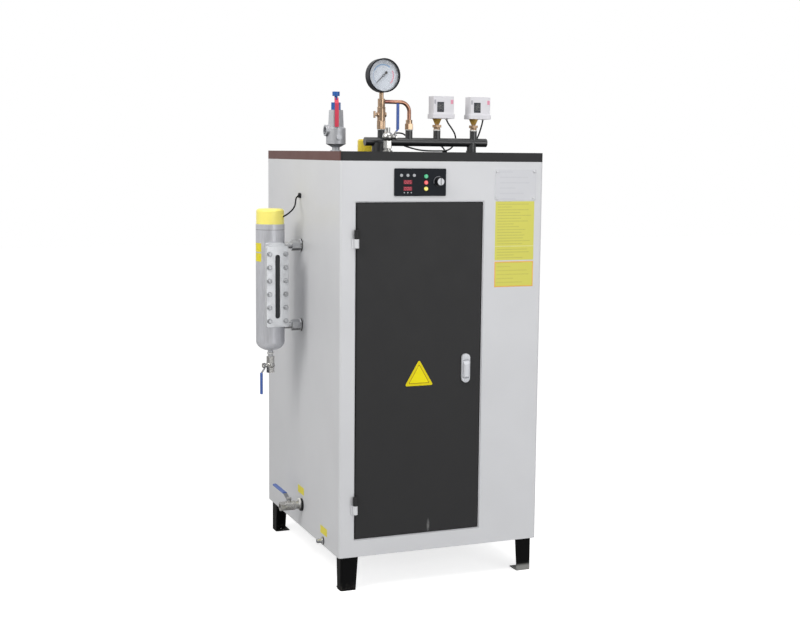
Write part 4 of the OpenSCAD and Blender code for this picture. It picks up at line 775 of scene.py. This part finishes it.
# %% Dial finish
DIAL_X, DIAL_Y, DIAL_Z = 250, 315, 1430
finishes["dial_white"], paper = blank("dial_print")
place = place_on(paper, at(DIAL_X, DIAL_Y, DIAL_Z))
across, upward = place.axis("X"), place.axis("Z")
radius = paper.math("SQRT", across * across + upward * upward)
turn = paper.math("ARCTAN2", across, upward)
band = radius.fade(0.0312, 0.0316) * (1 - radius.fade(0.0352, 0.0356))
face = cloud(paper, 0.03, 2.0).mix(rgb(203, 211, 222), rgb(213, 220, 230))
for start, end, strength, ink in ((-135, -62, 0.6, rgb(172, 192, 218)), (-62, 42, 0.85, rgb(112, 165, 214)),
                                  (62, 135, 0.85, rgb(226, 138, 160))):
    arc = band * (turn > math.radians(start)) * (turn < math.radians(end))
    face = (arc * strength).mix(face, ink)
finished(finishes["dial_white"], paper, {
    "Base Color": face, "Roughness": cloud(paper, 0.004, 2.0) * 0.1 + 0.45})
print("the dial's finish has", len(paper.tree.nodes), "nodes")

# %% [markdown]
# ## Finishes onto the solids
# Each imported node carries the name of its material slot. The table of finishes is keyed by slot, and for
# a few nodes with a look of their own by the node's name, which goes first.

# %% Assign the finishes
for name, node in nodes.items():
    for place in node.material_slots:
        slot_name = place.material.name.split(".")[0]
        place.material = finishes.get(name, finishes[slot_name])
for cable in cables:
    cable.data.materials.append(finishes["cable_black"])
print("finished", len(nodes), "nodes from", len(finishes), "finishes")

# %% [markdown]
# ## Bolts, screws and ticks
# Hex bolts hold the sight frame and the heater's flange, round screws hold the plate, and ticks go round
# the dial: small shapes that repeat by a rule. Modelling each by hand is slow, so a node tree places one
# shape on a grid or a ring of points. The result is then made a plain mesh.

# %% Start and end of a tree
def new_tree(name, inputs):
    """An empty geometry tree with named inputs, and the wires of those inputs."""
    tree = bpy.data.node_groups.new(name, "GeometryNodeTree")
    tree.interface.new_socket("Geometry", in_out="OUTPUT", socket_type="NodeSocketGeometry")
    for label, kind in inputs.items():
        tree.interface.new_socket(label, in_out="INPUT", socket_type="NodeSocket" + kind)
    source = tree.nodes.new("NodeGroupInput")
    return Wire(tree), {label: Wire(tree, source.outputs[label]) for label in inputs}


def close_tree(paper, shapes, wires):
    """Ends a tree: real meshes, turned and moved to their place, in their material."""
    real = paper.node("GeometryNodeRealizeInstances", {0: shapes})
    moved = paper.node("GeometryNodeTransform", {"Geometry": real, "Translation": wires["Place"],
                                                 "Rotation": wires["Turn"]})
    dressed = paper.node("GeometryNodeSetMaterial", {"Geometry": moved, "Material": wires["Material"]})
    paper.node("NodeGroupOutput", {0: dressed})
    return paper.tree


def lifted(paper, shape, height):
    """A shape moved up."""
    up = paper.xyz(Z=height)
    return paper.node("GeometryNodeTransform", {"Geometry": shape, "Translation": up})


# %% Bolts on a grid or on a ring
def bolt_shape(paper, wires):
    """A washer and a head with a crowned top, standing on z = 0."""
    thick, tall, wide = wires["Washer Height"], wires["Head Height"], wires["Head"]
    washer = paper.node("GeometryNodeMeshCylinder", {"Vertices": 20, "Radius": wires["Washer"] / 2,
                                                     "Depth": thick})
    head = paper.node("GeometryNodeMeshCylinder", {"Vertices": wires["Sides"], "Radius": wide / 2,
                                                   "Depth": tall})
    crown = paper.node("GeometryNodeMeshCone", {"Vertices": 16, "Radius Top": wide * 0.3,
                                                "Radius Bottom": wide * 0.42, "Depth": tall * 0.15})
    joined = paper.node("GeometryNodeJoinGeometry")
    for part in (lifted(paper, washer, thick / 2), lifted(paper, head, tall / 2 + thick),
                 lifted(paper, crown, tall + thick)):
        paper.tree.links.new(part.socket, joined.socket.node.inputs[0])
    return joined


def bolts_on(paper, points, wires, seed):
    """Ends a tree with a bolt on each point, turned by chance."""
    turns = paper.node("FunctionNodeRandomValue", {2: 0.0, 3: math.tau, "Seed": seed}, 1)
    spin = paper.xyz(Z=turns)
    sockets = {"Points": points, "Instance": bolt_shape(paper, wires), "Rotation": spin}
    return close_tree(paper, paper.node("GeometryNodeInstanceOnPoints", sockets), wires)


BOLT_INPUTS = {"Washer": "Float", "Washer Height": "Float", "Head": "Float", "Head Height": "Float",
               "Sides": "Int", "Place": "Vector", "Turn": "Rotation", "Material": "Material"}


def grid_tree():
    """Bolts on a flat grid."""
    inputs = {"Columns": "Int", "Rows": "Int", "Width": "Float", "Height": "Float", **BOLT_INPUTS}
    paper, wires = new_tree("bolts_on_a_grid", inputs)
    points = paper.node("GeometryNodeMeshGrid", {"Size X": wires["Width"], "Size Y": wires["Height"],
                                                 "Vertices X": wires["Columns"],
                                                 "Vertices Y": wires["Rows"]})
    return bolts_on(paper, points, wires, 7)


def ring_tree():
    """Bolts on a ring."""
    paper, wires = new_tree("bolts_on_a_ring", {"Count": "Int", "Ring": "Float", **BOLT_INPUTS})
    sockets = {"Vertices": wires["Count"], "Radius": wires["Ring"] / 2}
    return bolts_on(paper, paper.node("GeometryNodeMeshCircle", sockets), wires, 11)


# %% Ticks round a middle
def tick_tree():
    """Thin bars round a middle, every fifth one longer."""
    floats = dict.fromkeys(("Start", "Step", "Radius", "Long", "Wide", "Thick"), "Float")
    paper, wires = new_tree("dial_ticks", {"Count": "Int", **floats, "Place": "Vector", "Turn": "Rotation",
                                           "Material": "Material"})
    points = paper.node("GeometryNodePoints", {"Count": wires["Count"]})
    index = paper.node("GeometryNodeInputIndex")
    angle = index * wires["Step"] + wires["Start"]
    major = paper.math("MODULO", index, 5.0) < 0.5
    stretch = paper.xyz(X=major * 0.6 + 1.0, Y=1.0, Z=major * 0.7 + 1.0)
    size = paper.xyz(X=wires["Wide"], Y=wires["Thick"], Z=wires["Long"])
    bar = paper.node("GeometryNodeMeshCube", {"Size": size})
    inner = paper.xyz(Z=wires["Long"] * -0.5)
    bar = paper.node("GeometryNodeTransform", {"Geometry": bar, "Translation": inner})
    spin = paper.xyz(Y=angle)
    reach = paper.xyz(X=paper.math("SINE", angle) * wires["Radius"],
                      Z=paper.math("COSINE", angle) * wires["Radius"])
    points = paper.node("GeometryNodeSetPosition", {"Geometry": points, "Position": reach})
    sockets = {"Points": points, "Instance": bar, "Rotation": spin, "Scale": stretch}
    return close_tree(paper, paper.node("GeometryNodeInstanceOnPoints", sockets), wires)


# %% Run a tree
def grow(name, tree, body, values):
    """Runs a tree with its inputs, keeps the result as a plain mesh, and rides it on a body."""
    piece = link(name, bpy.data.meshes.new(name))
    modifier = piece.modifiers.new("tree", "NODES")
    modifier.node_group = tree
    for item in tree.interface.items_tree:
        if item.in_out == "INPUT":
            modifier[item.identifier] = values[item.name]
    graph = bpy.context.evaluated_depsgraph_get()
    piece.data = bpy.data.meshes.new_from_object(piece.evaluated_get(graph), depsgraph=graph)
    piece.modifiers.remove(modifier)
    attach(piece, body)
    print(name, "has", len(piece.data.polygons), "faces")
    return piece


# %% Bolts on the sight frame, the heater and the plate
FACING_FRONT = (math.pi / 2, 0, 0)
on_grid, on_ring = grid_tree(), ring_tree()
SIGHT_FRONT = 288.5
PLATE_X, PLATE_Z, PLATE_T = 557.5, 1099, 0.8
grow("sight_bolts", on_grid, "cabinet", {
    "Columns": 2, "Rows": 6, "Width": 0.051, "Height": 0.205, "Washer": 0.016, "Washer Height": 0.001,
    "Head": 0.014, "Head Height": 0.006, "Sides": 6, "Place": at(COLUMN_X, SIGHT_FRONT, 779.5),
    "Turn": FACING_FRONT, "Material": bolt_zinc})
grow("heater_bolts", on_ring, "cabinet", {
    "Count": 8, "Ring": 0.168, "Washer": 0.020, "Washer Height": 0.002, "Head": 0.016, "Head Height": 0.008,
    "Sides": 6, "Place": at(325, 91, 300), "Turn": FACING_FRONT, "Material": bolt_zinc})
grow("plate_screws", on_grid, "cabinet", {
    "Columns": 2, "Rows": 2, "Width": 0.124, "Height": 0.080, "Washer": 0.009, "Washer Height": 0.0006,
    "Head": 0.007, "Head Height": 0.0022, "Sides": 16, "Place": at(PLATE_X, -PLATE_T, PLATE_Z),
    "Turn": FACING_FRONT, "Material": finishes["hinge_white"]})

# %% Ticks and numbers on the dial
SWEEP_FROM, SWEEP = math.radians(-135), math.radians(270)
TICKS = 40
dial_ink = moulded("dial_ink", rgb(150, 158, 170), gloss=0.5)
grow("dial_ticks", tick_tree(), "cabinet", {
    "Count": TICKS + 1, "Start": SWEEP_FROM, "Step": SWEEP / TICKS, "Radius": 0.0405, "Long": 0.0024,
    "Wide": 0.0003, "Thick": 0.0002, "Place": at(DIAL_X, DIAL_Y, DIAL_Z), "Turn": (0, 0, 0),
    "Material": dial_ink})


def solid_piece(name, mesh, body, finish):
    """A finished mesh as a piece that rides on a body."""
    piece = link(name, mesh)
    mesh.materials.clear()
    mesh.materials.append(finish)
    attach(piece, body)
    return piece


def number_mesh(text, size, middle):
    """A number as a thin mesh that faces the front."""
    curve = bpy.data.curves.new("number", "FONT")
    curve.body, curve.size, curve.extrude = text, size, 0.00008
    curve.align_x, curve.align_y = "CENTER", "CENTER"
    holder = link("number", curve)
    graph = bpy.context.evaluated_depsgraph_get()
    mesh = bpy.data.meshes.new_from_object(holder.evaluated_get(graph), depsgraph=graph)
    bpy.data.objects.remove(holder)
    mesh.transform(Matrix.Translation(middle) @ Matrix.Rotation(math.pi / 2, 4, "X"))
    return mesh


def joined(name, meshes):
    """Several meshes as one."""
    whole = bmesh.new()
    for mesh in meshes:
        whole.from_mesh(mesh)
        bpy.data.meshes.remove(mesh)
    return mesh_of(whole, name, outward=False)


NUMBER_SIZE, NUMBER_RADIUS = 0.0052, 25
numbers = []
for step, label in enumerate(("0", "0.4", "0.8", "1.2", "1.6")):
    angle = SWEEP_FROM + SWEEP * step / 4
    middle = at(DIAL_X + NUMBER_RADIUS * math.sin(angle), DIAL_Y, DIAL_Z + NUMBER_RADIUS * math.cos(angle))
    numbers.append(number_mesh(label, NUMBER_SIZE, middle))
solid_piece("dial_numbers", joined("dial_numbers", numbers), "cabinet", dial_ink)
print("numbers on the dial:", len(numbers))

# %% [markdown]
# ## Digits on the displays
# Each display has three seven-segment digits. A segment is a bar with pointed ends, so one outline,
# turned and moved, makes all of them. A list of lit segments for each digit is the usual way to drive
# such a display.

# %% Lit segments
SEGMENTS = {"0": "abcdef", "2": "abged", "5": "afgcd", "4": "fgbc"}
DIGIT_W, DIGIT_H, BAR = 4.4, 8.0, 0.9
SEGMENT_PLACE = {"a": (0, 1, 0), "g": (0, 0, 0), "d": (0, -1, 0), "f": (-1, 0.5, 1), "b": (1, 0.5, 1),
                 "e": (-1, -0.5, 1), "c": (1, -0.5, 1)}
DISPLAY_X, DISPLAY_FRONT, DIGIT_PITCH = 206.5, -4.15, 7.6


def digit_faces(builder, digit, middle_x, middle_z):
    """Adds the lit bars of one digit."""
    for letter in SEGMENTS[digit]:
        side, level, upright = SEGMENT_PLACE[letter]
        x, z = middle_x + side * DIGIT_W / 2, middle_z + level * DIGIT_H / 2
        half = (DIGIT_H / 2 if upright else DIGIT_W) / 2 - 0.25
        outline = [(-half, 0), (-half + BAR / 2, -BAR / 2), (half - BAR / 2, -BAR / 2), (half, 0),
                   (half - BAR / 2, BAR / 2), (-half + BAR / 2, BAR / 2)]
        if upright:
            outline = [(-v, u) for u, v in outline]
        builder.faces.new([builder.verts.new(at(x + u, DISPLAY_FRONT, z + v)) for u, v in outline])


digit_glow = lens("digit_glow", rgb(206, 48, 68), 0.4, 0.3)
builder = bmesh.new()
for text, z in (("025", 1107.5), ("000", 1088.5)):
    for i, digit in enumerate(text):
        digit_faces(builder, digit, DISPLAY_X + (i - 1) * DIGIT_PITCH, z)
digits = mesh_of(builder, "display_digits", outward=False)
solid_piece("display_digits", digits, "cabinet", digit_glow)
print("lit bars:", len(digits.polygons))

# %% [markdown]
# ## Plates and stickers
# A data plate and two yellow sheets are on the front, a plain yellow triangle is on the door, and bare
# yellow tags are on the left wall. They are thin, so each is a small rounded outline with real thickness.
# The plate and the sheets have faint ruled rows, made in the finish from the height on them.

# %% Thin plates with rounded corners
def rounded_outline(width, height, radius, steps=4):
    """Corners of a rounded rectangle round its middle."""
    points = []
    for cx, cz, start in ((1, 1, 0), (-1, 1, 90), (-1, -1, 180), (1, -1, 270)):
        for k in range(steps + 1):
            a = math.radians(start + 90 * k / steps)
            x, z = cx * (width / 2 - radius), cz * (height / 2 - radius)
            points.append((x + radius * math.cos(a), z + radius * math.sin(a)))
    return points


def plate_mesh(name, outline, thickness, place):
    """A plate from an outline. place turns two sizes and a height off the wall into a point."""
    builder = bmesh.new()
    back = [builder.verts.new(place(u, v, 0)) for u, v in outline]
    front = [builder.verts.new(place(u, v, thickness)) for u, v in outline]
    builder.faces.new(front)
    builder.faces.new(list(reversed(back)))
    for i in range(len(outline)):
        n = (i + 1) % len(outline)
        builder.faces.new((back[i], back[n], front[n], front[i]))
    return mesh_of(builder, name)


def on_front(x, z, y=0):
    """Places on a face that looks to the front, round a middle."""
    return lambda u, v, out: at(x + u, y - out, z + v)


def on_left_wall(y, z):
    """Places on the left wall, round a middle."""
    return lambda u, v, out: at(-out, y - u, z + v)


# %% Ruled rows on plates and sheets
def ruled(name, colour, ink, bottom, pitch, left, right, strength, gloss=0.4, metallic=0.0):
    """Faint ruled rows on a plate, each broken off at its own length."""
    material, paper = blank(name)
    place = place_on(paper)
    height = (place.axis("Z") - bottom) / pitch
    row = paper.math("FLOOR", height)
    within = paper.math("FRACT", height)
    chance = paper.node("ShaderNodeTexWhiteNoise", {"W": row}, noise_dimensions="1D")
    across = place.axis("X")
    end = chance * (right - left) * 0.6 + (left + (right - left) * 0.4)
    line = (within > 0.35) * (within < 0.62) * (across > left) * (across < end)
    line = line * cloud(paper, 0.002, 2.0).fade(0.25, 0.5)
    tone = cloud(paper, 0.06, 2.0).mix(shade(colour, 0.97), shade(colour, 1.03))
    return finished(material, paper, {"Base Color": (line * strength).mix(tone, ink), "Metallic": metallic,
                                      "Roughness": cloud(paper, 0.01, 3.0) * 0.12 + (gloss - 0.06)})


LABEL_YELLOW = rgb(208, 204, 76)
label_x = [at(x, 0, 0).x for x in (499, 615)]
label_print = ruled("label_rules", LABEL_YELLOW, rgb(150, 146, 60), at(0, 0, 876).z, 0.0085, *label_x, 0.45)
label_low = ruled("label_low_rules", LABEL_YELLOW, rgb(170, 160, 60), at(0, 0, 800).z, 0.012, *label_x, 0.35)
plate_x = [at(x, 0, 0).x for x in (505, 612)]
plate_silver = ruled("plate_rules", rgb(195, 196, 200), rgb(170, 172, 178), at(0, 0, 1066).z, 0.016, *plate_x,
                     0.3, 0.4, 0.1)
print("ruled:", label_print.name, label_low.name, plate_silver.name)

# %% Place the plates
fold_pale = moulded("label_fold", rgb(220, 218, 140), gloss=0.42)
orange_ink = moulded("label_orange", rgb(232, 172, 60), gloss=0.42)
tag_yellow = moulded("tag_yellow", rgb(228, 214, 48), gloss=0.42)

plates = [("data_plate", rounded_outline(137, 92, 2), PLATE_T, on_front(PLATE_X, PLATE_Z), plate_silver,
           "light_grey_paint")]
SHEET_X = 557
for name, wide, tall, corner_r, thick, place, finish in (
        ("yellow_sheet", 130, 177, 0.5, 0.25, on_front(SHEET_X, 961.5), label_print),
        ("yellow_sheet_fold", 130, 2.4, 0.5, 0.3, on_front(SHEET_X, 915), fold_pale),
        ("yellow_sheet_low_edge", 130, 77, 0.5, 0.25, on_front(SHEET_X, 830.5), orange_ink),
        ("yellow_sheet_low", 124, 71, 0.5, 0.4, on_front(SHEET_X, 830.5), label_low),
        ("wall_tag_upper", 63, 24, 1, 0.3, on_left_wall(369.5, 119), tag_yellow),
        ("wall_tag_lower", 63, 24, 1, 0.3, on_left_wall(140.5, 47), tag_yellow)):
    plates.append((name, rounded_outline(wide, tall, corner_r), thick, place, finish, "yellow_plastic"))
SWITCH_FRONT, MARK_Z, MARK_H = 308.5, 1353.5, 13
SWITCH_MARKS = (("pink", 28, 9, moulded("switch_pink", rgb(228, 148, 172), gloss=0.45)),
                ("grey", -30, 6, moulded("switch_grey", rgb(176, 176, 184), gloss=0.45)))
for tag, middle in (("a", 454), ("b", 582)):
    for label, u, wide, ink in SWITCH_MARKS:
        place = on_front(middle + u, MARK_Z, SWITCH_FRONT)
        plates.append((f"switch_{tag}_{label}_mark", rounded_outline(wide, MARK_H, 0.5), 0.2, place, ink,
                       "switch_white"))
for name, outline, thickness, place, finish, slot in plates:
    solid_piece(name, plate_mesh(name, outline, thickness, place), "cabinet", finish)
print("plates:", [p[0] for p in plates])


# %% The door's triangle
def rounded_triangle(width, height, radius, steps=5):
    """Corners of a rounded triangle that stands on its base, round its middle."""
    tips = [Vector((0, height / 2)), Vector((-width / 2, -height / 2)), Vector((width / 2, -height / 2))]
    points = []
    for i, tip in enumerate(tips):
        before, after = (tips[i - 1] - tip).normalized(), (tips[(i + 1) % 3] - tip).normalized()
        half = before.angle(after) / 2
        reach = radius / math.tan(half)
        centre = tip + (before + after).normalized() * radius / math.sin(half)
        start, end = tip + before * reach - centre, tip + after * reach - centre
        sweep = start.angle_signed(end)
        for k in range(steps + 1):
            turned = Matrix.Rotation(-sweep * k / steps, 2) @ start
            points.append(tuple(centre + turned))
    return points


sign_yellow = moulded("sign_yellow", rgb(224, 207, 16), gloss=0.5, shine=0.15)
sign_gold = moulded("sign_gold", rgb(168, 138, 28), gloss=0.5, shine=0.15)
sign_bright = moulded("sign_bright", rgb(238, 224, 18), gloss=0.5, shine=0.15)
SIGN_W, SIGN_H, SIGN_X, SIGN_Z = 92, 78.5, 250, 543.75
triangles = (("door_triangle", 1.0, 4, 0.5, sign_yellow), ("door_triangle_rim", 0.74, 2, 0.6, sign_gold),
             ("door_triangle_field", 0.67, 1.5, 0.7, sign_bright))
for name, part, corner_r, out, finish in triangles:
    middle = SIGN_Z - (1 - part) * SIGN_H / 6
    outline = rounded_triangle(SIGN_W * part, SIGN_H * part, corner_r)
    sign = plate_mesh(name, outline, out, on_front(SIGN_X, middle))
    solid_piece(name, sign, "door", finish)
print("the triangle has", len(triangles), "layers")

# %% [markdown]
# ## The lip behind the door's gap
# Round the door the cabinet has a narrow lip, set back a little, so the gap shows pale paint and not the
# dark inside. It is a flat frame between an inner and an outer rectangle, and it leaves the door room to
# swing.

# %% A flat frame in the opening
LIP_OUTER, LIP_INNER = (44.5, 49.5, 455.5, 1052.5), (48, 53, 452, 1049)
LIP_FRONT, LIP_BACK = 2.5, 4


def frame_mesh(name, outer, inner, front, back):
    """A flat rectangular frame between two rectangles given as left, bottom, right and top."""
    builder = bmesh.new()
    loops = []
    for left, bottom, right, top in (outer, inner):
        corners = ((left, bottom), (right, bottom), (right, top), (left, top))
        loops += [[builder.verts.new(at(x, y, z)) for x, z in corners] for y in (front, back)]
    for one, two in ((0, 1), (1, 3), (3, 2), (2, 0)):
        for k in range(4):
            builder.faces.new((loops[one][k], loops[one][k - 1], loops[two][k - 1], loops[two][k]))
    return mesh_of(builder, name)


lip = frame_mesh("opening_lip", LIP_OUTER, LIP_INNER, LIP_FRONT, LIP_BACK)
solid_piece("opening_lip", lip, "cabinet", finishes["light_grey_paint"])
print("the lip has", len(lip.polygons), "faces")

# %% [markdown]
# ## Tape and collars
# Pipe threads are wound with white tape, of which a torn edge shows at the sockets and at two valves, and
# the cock has a raised ring above and below its plug. All are round, so one function turns a profile of
# radius and height round an axis.

# %% Turned rings
RING_SIDES = 40


def turned_mesh(name, profile, centres, turn, ragged=0.0):
    """Closed profiles of (radius, height) turned round an axis at each centre, perhaps with a ragged edge."""
    builder = bmesh.new()
    for n, centre in enumerate(centres):
        rings = []
        for k in range(RING_SIDES):
            a = math.tau * k / RING_SIDES
            wave = ragged * (math.sin(3 * a + n) + 0.6 * math.sin(7 * a + 2 * n))
            rim = [Vector((r * math.cos(a), r * math.sin(a), h + (wave if h > 0 else 0))) for r, h in profile]
            rings.append([builder.verts.new(centre + turn @ point / 1000) for point in rim])
        for k in range(RING_SIDES):
            one, two = rings[k], rings[k - 1]
            for i in range(len(profile)):
                builder.faces.new((one[i], one[i - 1], two[i - 1], two[i])).smooth = True
    return mesh_of(builder, name)


tape_white = moulded("tape_white", rgb(232, 232, 230), gloss=0.6)
FITTINGS_Y = 330
SOCKETS = [at(x, FITTINGS_Y, 1262) for x in (250, 344, 440, 568)]
COCK = [at(250, FITTINGS_Y, z) for z in (1288, 1329)]
upright = Matrix.Identity(3)
sideways = Matrix.Rotation(-math.pi / 2, 3, "Y")
collar = [(9, 0), (12.6, 0), (13.4, 1.2), (13.4, 3), (12.6, 4.2), (9, 4.2)]
turned_pieces = (
    ("thread_tape", [(11.2, 0), (11.8, 0), (11.9, 4), (11.2, 4)], SOCKETS, upright, 0.6,
     "switch_white", tape_white),
    ("blowdown_tape", [(11, 0.5), (15.4, 0.5), (15.4, 6), (11, 6)], [at(-6, 360, 80)], sideways, 0.3,
     "switch_white", tape_white),
    ("cock_collars", collar, COCK, upright, 0.0, "brass", finishes["brass"]),
    ("drain_tape", [(7, 0), (10.4, 0), (10.0, 6.5), (7, 6.5)], [at(COLUMN_X, COLUMN_Y, 563)], upright, 0.4,
     "switch_white", tape_white),
)
for name, profile, centres, turn, ragged, slot, finish in turned_pieces:
    solid_piece(name, turned_mesh(name, profile, centres, turn, ragged), "cabinet", finish)
print("turned:", [p[0] for p in turned_pieces])

# %% [markdown]
# ## Check the size and finish
# The looks must not make the object bigger than its solids, so the growth of the dressed box over the solids'
# box is printed.

# %% Compare the boxes and finish
bpy.context.view_layer.update()
dressed_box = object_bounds()
growth = [round((b - a) * 1000, 2) for p, q in zip(cad_box, dressed_box) for a, b in zip(p, q)]
print("box grows by", growth, "mm")
